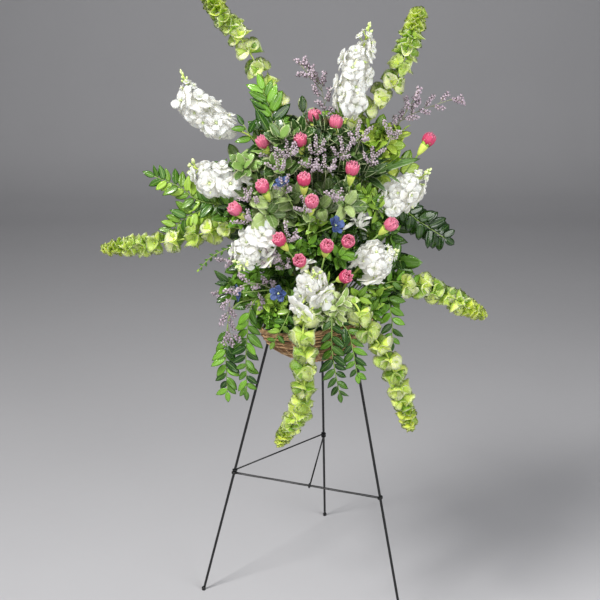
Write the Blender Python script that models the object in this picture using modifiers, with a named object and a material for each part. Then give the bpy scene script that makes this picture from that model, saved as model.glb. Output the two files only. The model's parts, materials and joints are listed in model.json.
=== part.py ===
"""A standing funeral spray: cut flowers and foliage in a wicker bowl on a three-legged wire easel.

Metres, +Z up, front towards -Y. The design is laid out round the easel's crown, whose axis is X = Y = 0.
At the end the whole object moves so that the middle of its box stands over the origin, feet on Z = 0.
"""
import math
import random

import bmesh
import bpy
import numpy as np
from mathutils import Matrix, Vector
from mathutils.bvhtree import BVHTree

OBJECT_NAME = "standing_funeral_spray"
GAP = 0.0003
MERGE = 0.00001
GOLDEN_ANGLE = math.radians(137.5)

# Easel
CROWN_HEIGHT = 1.022
FOOT_RADIUS = 0.273
CROWN_OFFSET = 0.009
LEG_WIRE = 0.0029
LEG_AZIMUTH = {"left": -81.0, "right": 45.0, "back": 174.0}
FOOT_TIP_RADIUS = 0.0048
FOOT_TIP_HEIGHT = 0.007
CROWN_RADIUS = 0.021
CROWN_DEPTH = 0.024
CROWN_CAP = 0.005
FRONT_BRACE_HEIGHT = 0.313
BACK_BRACE_HEIGHT = 0.290
FRONT_BRACE_WIRE = 0.0011
FRONT_BRACE_SPREAD = 0.0024
BRACE_WIRE = 0.0014
COLLAR_WIRE = 0.0013
COLLAR_STEP = 0.0070
HOOK_SHARE = 0.53
HOOK_RADIUS = 0.0043

# Wicker bowl, its liner and the foam, in the bowl's own frame with Z = 0 on the rim
BOWL_PLACE = Vector((-0.005, -0.146, 0.747))
BOWL_ROLL = 10.0
BOWL_DEPTH_SCALE = 0.79
BOWL_STRANDS = 26
WEAVE_RELIEF = 0.0013
TIE_WIRE = 0.0008
TIE_DEPTH = 0.016
FOAM_CENTRE_DROP = 0.020
HOLE_DEPTH = 0.024
HOLE_STRAIGHT = 0.012
HOLE_WIDENING = 1.45

# Blades and florets
CUP_SIDES = 5
CUP_WAVE = 0.14
CUPS_PER_WHORL = 2
FLORET_SIDES = 5
FRILL_WAVE = 0.20
LEAF_SWELL = 1.04
TIP_SINK = 0.0015
BLADE_MIDDLE = 0.46

parts = bpy.data.collections.new(OBJECT_NAME)
cutters = bpy.data.collections.new("cutters")
rng = random.Random(11)


def clear_scene():
    """Start from an empty scene."""
    for thing in list(bpy.data.objects):
        bpy.data.objects.remove(thing, do_unlink=True)
    bpy.context.scene.collection.children.link(parts)
    bpy.context.scene.collection.children.link(cutters)


def finish(name, colour, roughness, metallic=0.0):
    """A Principled material of one colour."""
    material = bpy.data.materials.new(name)
    material.use_nodes = True
    shader = material.node_tree.nodes["Principled BSDF"]
    shader.inputs["Base Color"].default_value = (*colour, 1.0)
    shader.inputs["Roughness"].default_value = roughness
    shader.inputs["Metallic"].default_value = metallic
    return material


def evaluated_mesh(thing):
    """The mesh of an object with its modifiers applied; the object is removed."""
    bpy.context.view_layer.update()
    graph = bpy.context.evaluated_depsgraph_get()
    mesh = bpy.data.meshes.new_from_object(thing.evaluated_get(graph))
    mesh.transform(thing.matrix_world)
    bpy.data.objects.remove(thing, do_unlink=True)
    return mesh


def welded(mesh, distance=MERGE):
    """Merge doubled points and split every face into triangles."""
    form = bmesh.new()
    form.from_mesh(mesh)
    bmesh.ops.remove_doubles(form, verts=form.verts, dist=distance)
    bare = [edge for edge in form.edges if not edge.link_faces]
    bmesh.ops.delete(form, geom=bare, context="EDGES")
    bmesh.ops.triangulate(form, faces=form.faces)
    form.to_mesh(mesh)
    form.free()
    return mesh


def tube(points, radii, resolution=1, closed=False):
    """A round wire or stem along points, with a radius at each point."""
    curve = bpy.data.curves.new("route", "CURVE")
    curve.dimensions = "3D"
    curve.bevel_depth = 1.0
    curve.bevel_resolution = resolution
    curve.use_fill_caps = True
    line = curve.splines.new("POLY")
    line.points.add(len(points) - 1)
    line.use_cyclic_u = closed
    for place, point, radius in zip(line.points, points, radii):
        place.co = (*point, 1.0)
        place.radius = radius
    thing = bpy.data.objects.new("route", curve)
    bpy.context.scene.collection.objects.link(thing)
    return welded(evaluated_mesh(thing))


def turned(profile, steps, depth_scale=1.0):
    """A solid turned round Z from a profile that runs down its outer side."""
    mesh = bpy.data.meshes.new("profile")
    edges = [(i, i + 1) for i in range(len(profile) - 1)]
    mesh.from_pydata([(radius, 0.0, height) for radius, height in profile], edges, [])
    thing = bpy.data.objects.new("profile", mesh)
    bpy.context.scene.collection.objects.link(thing)
    screw = thing.modifiers.new("turn", "SCREW")
    screw.steps = steps
    screw.render_steps = steps
    screw.use_merge_vertices = True
    screw.merge_threshold = MERGE
    mesh = welded(evaluated_mesh(thing))
    mesh.transform(Matrix.Diagonal((1.0, depth_scale, 1.0, 1.0)))
    return mesh


def ring(centre, axis, major, minor, major_steps=8, minor_steps=4):
    """A torus round an axis."""
    bpy.ops.mesh.primitive_torus_add(
        major_radius=major, minor_radius=minor, major_segments=major_steps, minor_segments=minor_steps
    )
    thing = bpy.context.object
    thing.matrix_world = Matrix.Translation(centre) @ axis.to_track_quat("Z", "Y").to_matrix().to_4x4()
    return evaluated_mesh(thing)


def cylinder(low, high, radius, steps):
    """A straight round bar between two points."""
    axis = high - low
    bpy.ops.mesh.primitive_cylinder_add(radius=radius, depth=axis.length, vertices=steps)
    thing = bpy.context.object
    turn = axis.to_track_quat("Z", "Y").to_matrix().to_4x4()
    thing.matrix_world = Matrix.Translation((low + high) / 2) @ turn
    return welded(evaluated_mesh(thing))


def boolean(base, others, operation):
    """One mesh joined with, or cut by, other meshes."""
    for mesh in others:
        other = bpy.data.objects.new("other", mesh)
        other.hide_render = True
        other.display_type = "WIRE"
        cutters.objects.link(other)
    thing = bpy.data.objects.new("joined", base)
    bpy.context.scene.collection.objects.link(thing)
    step = thing.modifiers.new("step", "BOOLEAN")
    step.operation = operation
    step.operand_type = "COLLECTION"
    step.collection = cutters
    step.solver = "MANIFOLD"
    mesh = evaluated_mesh(thing)
    for other in list(cutters.objects):
        bpy.data.objects.remove(other, do_unlink=True)
    return mesh


def largest_body(mesh):
    """Keep the largest body of a mesh: loose scraps and sealed hollows go."""
    form = bmesh.new()
    form.from_mesh(mesh)
    bmesh.ops.triangulate(form, faces=form.faces)
    bodies = []
    unseen = set(form.verts)
    while unseen:
        front = [unseen.pop()]
        body = set(front)
        while front:
            point = front.pop()
            for edge in point.link_edges:
                other = edge.other_vert(point)
                if other in unseen:
                    unseen.remove(other)
                    body.add(other)
                    front.append(other)
        bodies.append(body)
    bodies.sort(key=len, reverse=True)
    for body in bodies[1:]:
        bmesh.ops.delete(form, geom=list(body), context="VERTS")
    form.to_mesh(mesh)
    form.free()
    return mesh


def fused(meshes):
    """Closed meshes joined into one body."""
    if len(meshes) == 1:
        return meshes[0]
    return largest_body(boolean(meshes[0], meshes[1:], "UNION"))


def add_part(name, mesh, material, smooth=False):
    """A named node of the object."""
    mesh.name = name
    mesh.materials.clear()
    mesh.materials.append(material)
    thing = bpy.data.objects.new(name, mesh)
    parts.objects.link(thing)
    if smooth:
        mesh.shade_smooth()
        mesh.set_sharp_from_angle(angle=math.radians(50))
    return thing


class Space:
    """The room that placed pieces take, so that no node grows through another."""

    def __init__(self):
        self.lows = []
        self.highs = []
        self.trees = []
        self.nodes = []

    def claim(self, node, points, faces):
        """Keep the room of one piece of a node."""
        points = np.asarray(points)
        self.lows.append(points.min(axis=0))
        self.highs.append(points.max(axis=0))
        self.trees.append(BVHTree.FromPolygons([Vector(p) for p in points], faces))
        self.nodes.append(node)

    def claim_mesh(self, node, mesh):
        """Keep the room of a whole mesh."""
        points = [tuple(v.co) for v in mesh.vertices]
        self.claim(node, points, [tuple(p.vertices) for p in mesh.polygons])

    def crossings(self, node, points, faces, swell=LEAF_SWELL):
        """How many pieces of other nodes, and of the same node, a piece would cross."""
        points = np.asarray(points)
        middle = points.mean(axis=0)
        points = middle + (points - middle) * swell
        low = points.min(axis=0)
        high = points.max(axis=0)
        near = np.all(np.asarray(self.lows) <= high, axis=1) & np.all(np.asarray(self.highs) >= low, axis=1)
        tree = BVHTree.FromPolygons([Vector(p) for p in points], faces)
        probe = Vector(middle)
        foreign = set()
        own = 0
        for index in np.flatnonzero(near):
            other = self.trees[index]
            touches = bool(tree.overlap(other))
            if not touches and self.nodes[index] != node:
                touches = is_inside(other, probe)
            if not touches:
                continue
            if self.nodes[index] == node:
                own += 1
            else:
                foreign.add(self.nodes[index])
        return foreign, own


def is_inside(tree, point):
    """Whether a point lies inside a closed form, from how often a line out of it crosses the surface."""
    crossed = 0
    step = Vector((0.011, 0.023, 1.0)).normalized()
    place, _, _, _ = tree.ray_cast(point, step)
    while place is not None:
        crossed += 1
        place, _, _, _ = tree.ray_cast(place + step * MERGE, step)
    return crossed % 2 == 1


space = Space()


def shape_from(form):
    """Points and triangles of a small form, at unit size."""
    bmesh.ops.triangulate(form, faces=form.faces)
    form.verts.index_update()
    points = np.array([tuple(v.co) for v in form.verts])
    faces = [tuple(v.index for v in f.verts) for f in form.faces]
    form.free()
    return points, faces


def open_cone(sides):
    """A cone that stands on its point, with its mouth up as one face."""
    form = bmesh.new()
    bmesh.ops.create_cone(form, cap_ends=True, segments=sides, radius1=1.0, radius2=0.0, depth=1.0)
    bmesh.ops.remove_doubles(form, verts=form.verts, dist=MERGE)
    bmesh.ops.rotate(form, verts=form.verts, matrix=Matrix.Rotation(math.pi, 3, "X"))
    bmesh.ops.translate(form, verts=form.verts, vec=(0.0, 0.0, 0.5))
    mouth = max(form.faces, key=lambda face: face.calc_center_median().z)
    return form, mouth


def cup_shape(sides, floor):
    """A shell-like calyx cup: a cone with a hollow mouth and a waved lip."""
    form, mouth = open_cone(sides)
    middle = bmesh.ops.poke(form, faces=[mouth])["verts"][0]
    for point in form.verts:
        if point.co.z > 0.9:
            point.co.z += CUP_WAVE * math.cos(2 * math.atan2(point.co.y, point.co.x))
    middle.co.z = floor
    return shape_from(form)


def floret_shape(sides, heart):
    """A ruffled floret: a waved frill round a sunken heart."""
    form, mouth = open_cone(sides)
    middle = bmesh.ops.poke(form, faces=[mouth])["verts"][0]
    for point in form.verts:
        if point.co.z > 0.9:
            point.co.z = 1.0 + FRILL_WAVE * math.cos(3 * math.atan2(point.co.y, point.co.x))
    middle.co.z = heart
    return shape_from(form)


def blade_shape(outline, fold):
    """A pointed leaf along X: an even outline from tip to root, raised and lower middles, sides folded up."""
    sides = 2 * (len(outline) - 1)
    form, mouth = open_cone(sides)
    bmesh.ops.poke(form, faces=[mouth])
    for point in form.verts:
        if math.hypot(point.co.x, point.co.y) < 0.1:
            point.co = (BLADE_MIDDLE, 0.0, 0.5 if point.co.z > 0.5 else -0.5)
            continue
        step = round(math.atan2(-point.co.x, point.co.y) * sides / math.tau)
        along, across = outline[abs(step)]
        point.co = (along, math.copysign(across, step), fold * across)
    return shape_from(form)


def bead_shape(sides):
    """A pointed bead along Z, from a root at the origin."""
    form, mouth = open_cone(sides)
    bmesh.ops.poke(form, faces=[mouth])
    for point in form.verts:
        if math.hypot(point.co.x, point.co.y) > 0.1:
            point.co.z = 0.55
        elif point.co.z > 0.5:
            point.co.z = 1.0
    return shape_from(form)


def pink_shape(sides=8, rows=4):
    """A half-open carnation: a flat foot, a round belly and furled petal edges."""
    form = bmesh.new()
    bmesh.ops.create_uvsphere(form, u_segments=sides, v_segments=rows, radius=1.0)
    for point in form.verts:
        height = point.co.z
        turn = math.atan2(point.co.y, point.co.x)
        flute = 1.0
        if height > 0.2:
            flute = 1.0 + 0.14 * math.cos(4 * turn)
        point.co.x *= flute
        point.co.y *= flute
        point.co.z = 0.5 + 0.5 * height
        if height < -0.8:
            point.co.z = 0.0
        if height > 0.99:
            point.co.z = 0.86
        elif height > 0.7:
            point.co.z += 0.09 * math.cos(4 * turn)
    return shape_from(form)


def oriented(along, up):
    """Three square axes: along, across and near up."""
    x_axis = along.normalized()
    y_axis = up.cross(x_axis)
    if y_axis.length < 1e-6:
        y_axis = x_axis.orthogonal()
    y_axis.normalize()
    return x_axis, y_axis, x_axis.cross(y_axis)


def set_out(points, root, axes, size):
    """Place a unit form at a root, along three axes, at a size for each."""
    frame = np.array([tuple(axis) for axis in axes])
    return np.asarray(root) + (points * np.asarray(size)) @ frame


def mesh_of(points, faces):
    """A mesh of points and triangles."""
    mesh = bpy.data.meshes.new("repeat")
    mesh.from_pydata([tuple(p) for p in points], [], faces)
    return mesh


def smooth_route(points, spacing):
    """Points on one smooth curve through the given points."""
    points = [Vector(p) for p in points]
    ends = [points[0] * 2 - points[1]] + points + [points[-1] * 2 - points[-2]]
    route = []
    for index in range(1, len(ends) - 2):
        before, start, end, after = ends[index - 1:index + 3]
        steps = max(1, round((end - start).length / spacing))
        for step in range(steps):
            t = step / steps
            route.append(
                0.5
                * (
                    2 * start
                    + (end - before) * t
                    + (2 * before - 5 * start + 4 * end - after) * t * t
                    + (3 * start - before - 3 * end + after) * t * t * t
                )
            )
    route.append(points[-1])
    return route


class Route:
    """A stem's line, read by its length from the foot."""

    def __init__(self, points):
        self.points = points
        self.lengths = [0.0]
        for before, after in zip(points, points[1:]):
            self.lengths.append(self.lengths[-1] + (after - before).length)
        self.length = self.lengths[-1]

    def at(self, distance):
        """The place and the direction at a length along the route."""
        distance = min(max(distance, 0.0), self.length - 1e-6)
        index = int(np.searchsorted(self.lengths, distance, side="right")) - 1
        start, end = self.points[index], self.points[index + 1]
        share = (distance - self.lengths[index]) / (self.lengths[index + 1] - self.lengths[index])
        return start.lerp(end, share), (end - start).normalized()


# Easel


def spot(azimuth, radius, height):
    """A place round the crown's axis; azimuth 0 is the front, positive to the right."""
    turn = math.radians(azimuth)
    return Vector((radius * math.sin(turn), -radius * math.cos(turn), height))


def leg_line(side):
    """The foot and the top of one leg's middle line."""
    azimuth = LEG_AZIMUTH[side]
    return spot(azimuth, FOOT_RADIUS, 0.0), spot(azimuth, CROWN_OFFSET, CROWN_HEIGHT)


def on_leg(side, height):
    """The place on a leg's middle line at a height."""
    foot, top = leg_line(side)
    return foot.lerp(top, height / CROWN_HEIGHT)


def build_easel(black):
    """Three wire legs in a crown, tied by a doubled front brace, a side brace and a hooked brace."""
    holes = []
    for side in LEG_AZIMUTH:
        foot, top = leg_line(side)
        start = on_leg(side, FOOT_TIP_HEIGHT / 2)
        leg = tube([start, top], [LEG_WIRE] * 2, resolution=2)
        tip = cylinder(Vector(foot), foot + Vector((0, 0, FOOT_TIP_HEIGHT)), FOOT_TIP_RADIUS, 12)
        add_part("leg_" + side, fused([leg, tip]), black, smooth=True)
        direction = (top - foot).normalized()
        low = on_leg(side, CROWN_HEIGHT - 2 * CROWN_DEPTH)
        holes.append(tube([low, top + direction * GAP], [LEG_WIRE + GAP] * 2, resolution=2))
    crown = cylinder(
        Vector((0, 0, CROWN_HEIGHT - CROWN_DEPTH)), Vector((0, 0, CROWN_HEIGHT + CROWN_CAP)), CROWN_RADIUS, 16
    )
    add_part("leg_crown", largest_body(boolean(crown, holes, "DIFFERENCE")), black, smooth=True)
    build_braces(black)


def collar(side, height):
    """An eye of wire round a leg at a height."""
    foot, top = leg_line(side)
    return ring(on_leg(side, height), top - foot, LEG_WIRE + GAP + COLLAR_WIRE + 0.0001, COLLAR_WIRE)


def brace(side_a, height_a, side_b, height_b, shift, wire):
    """A straight wire between the eyes on two legs."""
    start = on_leg(side_a, height_a)
    end = on_leg(side_b, height_b)
    run = (end - start).normalized() * (LEG_WIRE + GAP + COLLAR_WIRE)
    return tube([start + run + shift, end - run + shift], [wire] * 2, resolution=1)


def build_braces(black):
    """The three braces that hold the legs apart."""
    half = Vector((0, 0, FRONT_BRACE_SPREAD / 2))
    front = [collar("left", FRONT_BRACE_HEIGHT), collar("right", FRONT_BRACE_HEIGHT)]
    for shift in (half, -half):
        front.append(
            brace("left", FRONT_BRACE_HEIGHT, "right", FRONT_BRACE_HEIGHT, shift, FRONT_BRACE_WIRE)
        )
    add_part("brace_front", fused(front), black, smooth=True)
    side_height = FRONT_BRACE_HEIGHT + COLLAR_STEP
    side = [collar("left", side_height), collar("back", BACK_BRACE_HEIGHT)]
    side.append(brace("left", side_height, "back", BACK_BRACE_HEIGHT, Vector(), BRACE_WIRE))
    add_part("brace_side", fused(side), black, smooth=True)
    eye_height = BACK_BRACE_HEIGHT - COLLAR_STEP
    left = on_leg("left", FRONT_BRACE_HEIGHT)
    right = on_leg("right", FRONT_BRACE_HEIGHT)
    hold = left.lerp(right, HOOK_SHARE)
    back = on_leg("back", eye_height)
    run = (hold - back).normalized()
    start = back + run * (LEG_WIRE + GAP + COLLAR_WIRE)
    end = hold - run * HOOK_RADIUS
    hook = [collar("back", eye_height), ring(hold, right - left, HOOK_RADIUS, BRACE_WIRE)]
    hook.append(tube([start, end], [BRACE_WIRE] * 2, resolution=1))
    add_part("brace_hook", fused(hook), black, smooth=True)


# Bowl, liner, foam and ties

bowl_frame = Matrix.Translation(BOWL_PLACE) @ Matrix.Rotation(-math.radians(BOWL_ROLL), 4, "Y")
foam_centre = bowl_frame @ Vector((0.0, 0.0, -FOAM_CENTRE_DROP))

BOWL_OUTSIDE = (
    (0.117, 0.000), (0.122, -0.005), (0.120, -0.012), (0.117, -0.024), (0.112, -0.037), (0.103, -0.049),
    (0.092, -0.060), (0.078, -0.071), (0.062, -0.081), (0.045, -0.091),
)
BOWL_FLOOR = ((0.0, -0.092), (0.0, -0.0862))
BOWL_INSIDE = ((0.050, -0.084), (0.091, -0.052), (0.107, -0.030), (0.112, -0.004))
LINER_OUTSIDE = ((0.1075, -0.005), (0.1035, -0.030), (0.0870, -0.052), (0.0470, -0.0835), (0.0, -0.0857))
LINER_WALL = 0.0012
LINER_STEPS = 12
FOAM_PROFILE = (
    (0.0, 0.048), (0.055, 0.037), (0.092, -0.008), (0.090, -0.034), (0.041, -0.080), (0.0, -0.0842),
)
FOAM_STEPS = 8
TIE_ANGLES = {"left": 112.0, "right": 64.0}
TIE_DROP = {"left": 0.006, "right": 0.004}
TIE_OUTER = 0.1268
TIE_INNER = 0.1078
TIE_TOP = 0.0030
TIE_SHOULDER = 0.0012
TIE_TURN = 0.0022
TIE_HOLE = 0.0017


def rim_point(angle, radius, height):
    """A place on the oval bowl, in the world."""
    turn = math.radians(angle)
    flat = Vector((radius * math.cos(turn), BOWL_DEPTH_SCALE * radius * math.sin(turn), height))
    return bowl_frame @ flat


def build_bowl(brown):
    """A woven bowl: a turned shell whose outside is raised strand by strand."""
    outside = list(BOWL_OUTSIDE)
    profile = [BOWL_INSIDE[-1]] + outside + list(BOWL_FLOOR) + list(BOWL_INSIDE)
    mesh = turned(profile, BOWL_STRANDS)
    rows = {round(height, 4): row for row, (_, height) in enumerate(outside)}
    for point in mesh.vertices:
        reach = math.hypot(point.co.x, point.co.y)
        row = rows.get(round(point.co.z, 4))
        if row is None or row == 0 or abs(reach - outside[row][0]) > 0.002:
            continue
        strand = round(math.atan2(point.co.y, point.co.x) / (2 * math.pi) * BOWL_STRANDS)
        swell = WEAVE_RELIEF * (1 if (strand + row) % 2 else -1)
        point.co.x *= 1 + swell / reach
        point.co.y *= 1 + swell / reach
    mesh.transform(Matrix.Diagonal((1.0, BOWL_DEPTH_SCALE, 1.0, 1.0)))
    mesh.transform(bowl_frame)
    holes = []
    for angle in TIE_ANGLES.values():
        outer = rim_point(angle, TIE_OUTER + 2 * TIE_HOLE, -TIE_DEPTH)
        inner = rim_point(angle, TIE_INNER - TIE_WIRE, -TIE_DEPTH)
        holes.append(cylinder(inner, outer, TIE_HOLE, 8))
    mesh = largest_body(boolean(mesh, holes, "DIFFERENCE"))
    add_part("basket", mesh, brown)
    space.claim_mesh("basket", mesh)


def build_ties(black):
    """Binding wires: an eye round a leg, a run to the bowl and a loop through its wall over the rim."""
    for side, angle in TIE_ANGLES.items():
        loop = [
            rim_point(angle, TIE_OUTER, -TIE_DEPTH), rim_point(angle, TIE_OUTER, TIE_SHOULDER),
            rim_point(angle, TIE_OUTER - TIE_TURN, TIE_TOP), rim_point(angle, TIE_INNER + TIE_TURN, TIE_TOP),
            rim_point(angle, TIE_INNER, TIE_SHOULDER), rim_point(angle, TIE_INNER, -TIE_DEPTH),
        ]
        edge = rim_point(angle, TIE_OUTER, -TIE_DROP[side])
        hold = on_leg(side, edge.z)
        run = (edge - hold).normalized()
        foot, top = leg_line(side)
        eye_radius = LEG_WIRE + GAP + TIE_WIRE + 0.0001
        pieces = [
            tube(loop, [TIE_WIRE] * len(loop), resolution=0, closed=True),
            ring(hold, top - foot, eye_radius, TIE_WIRE),
            tube([hold + run * eye_radius, edge], [TIE_WIRE] * 2, resolution=0),
        ]
        mesh = fused(pieces)
        add_part("basket_tie_" + side, mesh, black, smooth=True)
        space.claim_mesh("basket_tie_" + side, mesh)


def build_liner(plastic):
    """A thin watertight liner inside the bowl."""
    inside = [(radius - LINER_WALL, height) for radius, height in LINER_OUTSIDE[:-1]]
    inside.append((0.0, LINER_OUTSIDE[-1][1] + LINER_WALL))
    profile = [inside[0]] + list(LINER_OUTSIDE) + inside[::-1]
    mesh = turned(profile, LINER_STEPS, BOWL_DEPTH_SCALE)
    mesh.transform(bowl_frame)
    add_part("liner", mesh, plastic)
    space.claim_mesh("liner", mesh)


def foam_blank():
    """The foam before its holes."""
    mesh = turned(list(FOAM_PROFILE), FOAM_STEPS, BOWL_DEPTH_SCALE)
    mesh.transform(bowl_frame)
    return mesh


foam_holes = []


def planted(aim, radius, blank_tree):
    """The straight foot of a stem: a plain hole in the foam along the line from its heart to the aim."""
    direction = (Vector(aim) - foam_centre).normalized()
    surface, _, _, _ = blank_tree.ray_cast(foam_centre + direction * BOWL_PLACE.z, -direction)
    foot = surface - direction * HOLE_DEPTH
    foam_holes.append((foot - direction * GAP, surface + direction * HOLE_STRAIGHT, radius + GAP))
    return [foot, surface, surface + direction * HOLE_STRAIGHT]


def build_foam(green, blank):
    """The foam with one plain square hole for each stem, wide enough for the stem's round."""
    holes = [cylinder(low, high, radius * HOLE_WIDENING, 4) for low, high, radius in foam_holes]
    mesh = largest_body(boolean(blank, holes, "DIFFERENCE"))
    add_part("floral_foam", mesh, green)


# Flowers and foliage

CUP = cup_shape(CUP_SIDES, floor=0.38)
FLORET = floret_shape(FLORET_SIDES, heart=0.72)
NARROW_LEAF = blade_shape([(1.0, 0.0), (0.42, 0.20), (0.0, 0.0)], fold=0.35)
BROAD_LEAF = blade_shape([(1.0, 0.0), (0.70, 0.25), (0.30, 0.26), (0.0, 0.0)], fold=0.25)
PETAL = blade_shape([(1.0, 0.0), (0.62, 0.36), (0.0, 0.0)], fold=0.45)
BEAD = bead_shape(3)
PINK = pink_shape()


class Grower:
    """One node of stems and the repeats that grow on them."""

    def __init__(self, name, material):
        self.name = name
        self.material = material
        self.meshes = []

    def stem(self, points, radii, spacing=0.045):
        """Add a tapered stem through points, thick to thin; the route is returned."""
        line = smooth_route(points, spacing)
        thick, thin = radii
        count = len(line) - 1
        widths = [thick + (thin - thick) * index / count for index in range(count + 1)]
        self.solid(tube(line, widths, 0))
        return Route(line)

    def solid(self, mesh):
        """Add a solid that has to stand where it is."""
        points = [tuple(v.co) for v in mesh.vertices]
        faces = [tuple(p.vertices) for p in mesh.polygons]
        foreign, _ = space.crossings(self.name, points, faces, swell=1.0)
        foreign.discard("floral_foam")
        if foreign:
            raise ValueError(f"{self.name} crosses {sorted(foreign)}: its route has to be bent clear")
        space.claim(self.name, points, faces)
        self.meshes.append(mesh)

    def repeat(self, shape, choices):
        """Add a form in its first place that is clear of other nodes and crosses one of its own at most."""
        for root, axes, size in choices:
            points = set_out(shape[0], root, axes, size)
            foreign, own = space.crossings(self.name, points, shape[1])
            if not foreign and own <= 1:
                space.claim(self.name, points, shape[1])
                self.meshes.append(mesh_of(points, shape[1]))
                return

    def build(self):
        """Join the node's pieces and add it to the object."""
        return add_part(self.name, fused(self.meshes), self.material)


def around(direction, turn):
    """A direction square to another, turned round it."""
    side = direction.orthogonal().normalized()
    return (Matrix.Rotation(turn, 3, direction) @ side).normalized()


def oriented_to(out, up):
    """Three square axes whose third is out."""
    across = up.cross(out)
    if across.length < 1e-6:
        across = out.orthogonal()
    across.normalize()
    return out.cross(across) * -1.0, across, out


def grow_bells(plant, route, start, gaps):
    """Whorls of cups up a spike, close and small at the tip, wide apart lower down."""
    tip, direction = route.at(route.length)
    tip_axes = oriented_to(direction, around(direction, 0.0))
    plant.repeat(CUP, [(tip - direction * BELLS_TIP[0] / 2, tip_axes, BELLS_TIP)])
    distance = route.length - BELLS_TIP[2] * 0.67
    whorl = 0
    while distance > start:
        share = (route.length - distance) / (route.length - start)
        size = BELLS_CUP * (0.55 + 0.45 * min(1.0, share * 2.2))
        place, direction = route.at(distance)
        for cup in range(CUPS_PER_WHORL):
            choices = []
            for nudge in (0.0, 0.3, -0.3, 0.6, -0.6):
                for shrink in (1.0, 0.85):
                    out = around(direction, whorl * WHORL_TURN + cup * math.tau / CUPS_PER_WHORL + nudge)
                    lean = (out + direction * CUP_LEAN).normalized()
                    root = place + out * BELLS_STEM[1] * 0.2
                    reach = size * shrink
                    choices.append((root, oriented_to(lean, direction), (reach, reach, reach)))
            plant.repeat(CUP, choices)
        whorl += 1
        distance -= size * (CUP_SPACING + 0.40 * share)
        if whorl in gaps:
            distance -= BELLS_CUP * 0.6


def stock_spike(route, start):
    """A stem that thickens into the core of its flower head."""
    straight = HOLE_DEPTH + HOLE_STRAIGHT
    stem_steps = max(1, round((start - straight) / 0.060))
    core_steps = max(2, round((route.length - start) / 0.028))
    line = [route.at(0.0)[0]]
    line += [route.at(straight + (start - straight) * step / stem_steps)[0] for step in range(stem_steps + 1)]
    radii = [STOCK_STEM[0]] * (stem_steps + 1) + [STOCK_STEM[1]]
    core_start = start + 0.004
    for step in range(core_steps + 1):
        share = step / core_steps
        line.append(route.at(core_start + (route.length - core_start) * share)[0])
        radii.append(STOCK_CORE * (0.6 if step == 0 else 0.5 if step == core_steps else 1.0))
    return tube(line, radii, 1)


def grow_stock(plant, route, start, size, buds):
    """Ruffled florets all round the core of a head, with green buds at its tip."""
    length = route.length - start
    count = max(8, round(length / FLORET_STEP))
    for index in range(count):
        share = (index + 0.5) / count
        place, direction = route.at(start + length * (0.03 + 0.93 * share))
        tilt = 0.1 + 0.75 * share * share
        reach = size * (1.0 - 0.30 * share)
        choices = []
        for nudge in (0.0, 0.4, -0.4, 0.8):
            for shrink in (1.0, 0.8):
                out = around(direction, index * GOLDEN_ANGLE + nudge)
                lean = (out + direction * tilt).normalized()
                root = place + out * STOCK_CORE * 0.45
                wide = reach * shrink
                choices.append((root, oriented_to(lean, direction), (wide, wide, reach * 0.95)))
        plant.repeat(FLORET, choices)
    tip, direction = route.at(route.length)
    for bud in range(buds):
        out = around(direction, bud * GOLDEN_ANGLE)
        lean = (direction + out * (0.15 + 0.12 * bud)).normalized()
        plant.repeat(BEAD, [(tip - direction * 0.007, oriented_to(lean, out), STOCK_BUD)])


class Foliage:
    """How one kind of foliage sets its leaves."""

    def __init__(self, shape, length, width, spacing, rise, face, spread):
        self.shape = shape
        self.length = length
        self.width = width
        self.spacing = spacing
        self.rise = rise
        self.face = Vector(face).normalized()
        self.spread = spread


def grow_leaves(plant, route, start, kind):
    """Leaves on alternate sides of a stem, their faces to the front, and one at its tip."""
    face = kind.face
    distance = start
    side = 1.0
    while distance < route.length - 0.004:
        share = (distance - start) / (route.length - start)
        place, direction = route.at(distance)
        across = direction.cross(face).normalized() * side
        scale = (0.78 + 0.34 * math.sin(math.pi * min(1.0, share * 0.9 + 0.12))) * rng.uniform(0.9, 1.08)
        slant = rng.uniform(-kind.spread, kind.spread)
        choices = []
        for lift in (slant, -slant, slant + 0.5, slant - 0.5, slant + 1.0):
            for shrink in (1.0, 0.8):
                along = (across + direction * kind.rise + face * lift).normalized()
                up = (face - across * lift).normalized()
                reach = kind.length * scale * shrink
                choices.append((place, oriented(along, up), (reach, reach * kind.width, LEAF_THICKNESS)))
        plant.repeat(kind.shape, choices)
        side = -side
        distance += kind.spacing
    place, direction = route.at(route.length - TIP_SINK)
    reach = kind.length * 0.8
    size = (reach, reach * kind.width, LEAF_THICKNESS)
    plant.repeat(kind.shape, [(place, oriented(direction, face), size)])


def grow_beads(plant, route, start):
    """Small papery florets in a close zigzag up a twig."""
    distance = start
    number = 0
    while distance < route.length:
        place, direction = route.at(distance)
        out = around(direction, number * GOLDEN_ANGLE)
        lean = (out + direction * 0.9).normalized()
        plant.repeat(BEAD, [(place, oriented_to(lean, direction), LIMONIUM_FLORET)])
        number += 1
        distance += LIMONIUM_STEP
    place, direction = route.at(route.length - TIP_SINK)
    plant.repeat(BEAD, [(place, oriented_to(direction, around(direction, 0.0)), LIMONIUM_FLORET)])


def grow_petals(plant, route):
    """One open floret at the end of a twig: five folded petals."""
    place, direction = route.at(route.length - TIP_SINK)
    for petal in range(5):
        choices = []
        for nudge in (0.0, 0.3, -0.3):
            for shrink in (1.0, 0.8):
                out = around(direction, petal * math.tau / 5 + nudge)
                along = (out + direction * 0.45).normalized()
                reach = DELPHINIUM_PETAL * shrink
                choices.append((place, oriented(along, direction), (reach, reach, LEAF_THICKNESS)))
        plant.repeat(PETAL, choices)


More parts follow.
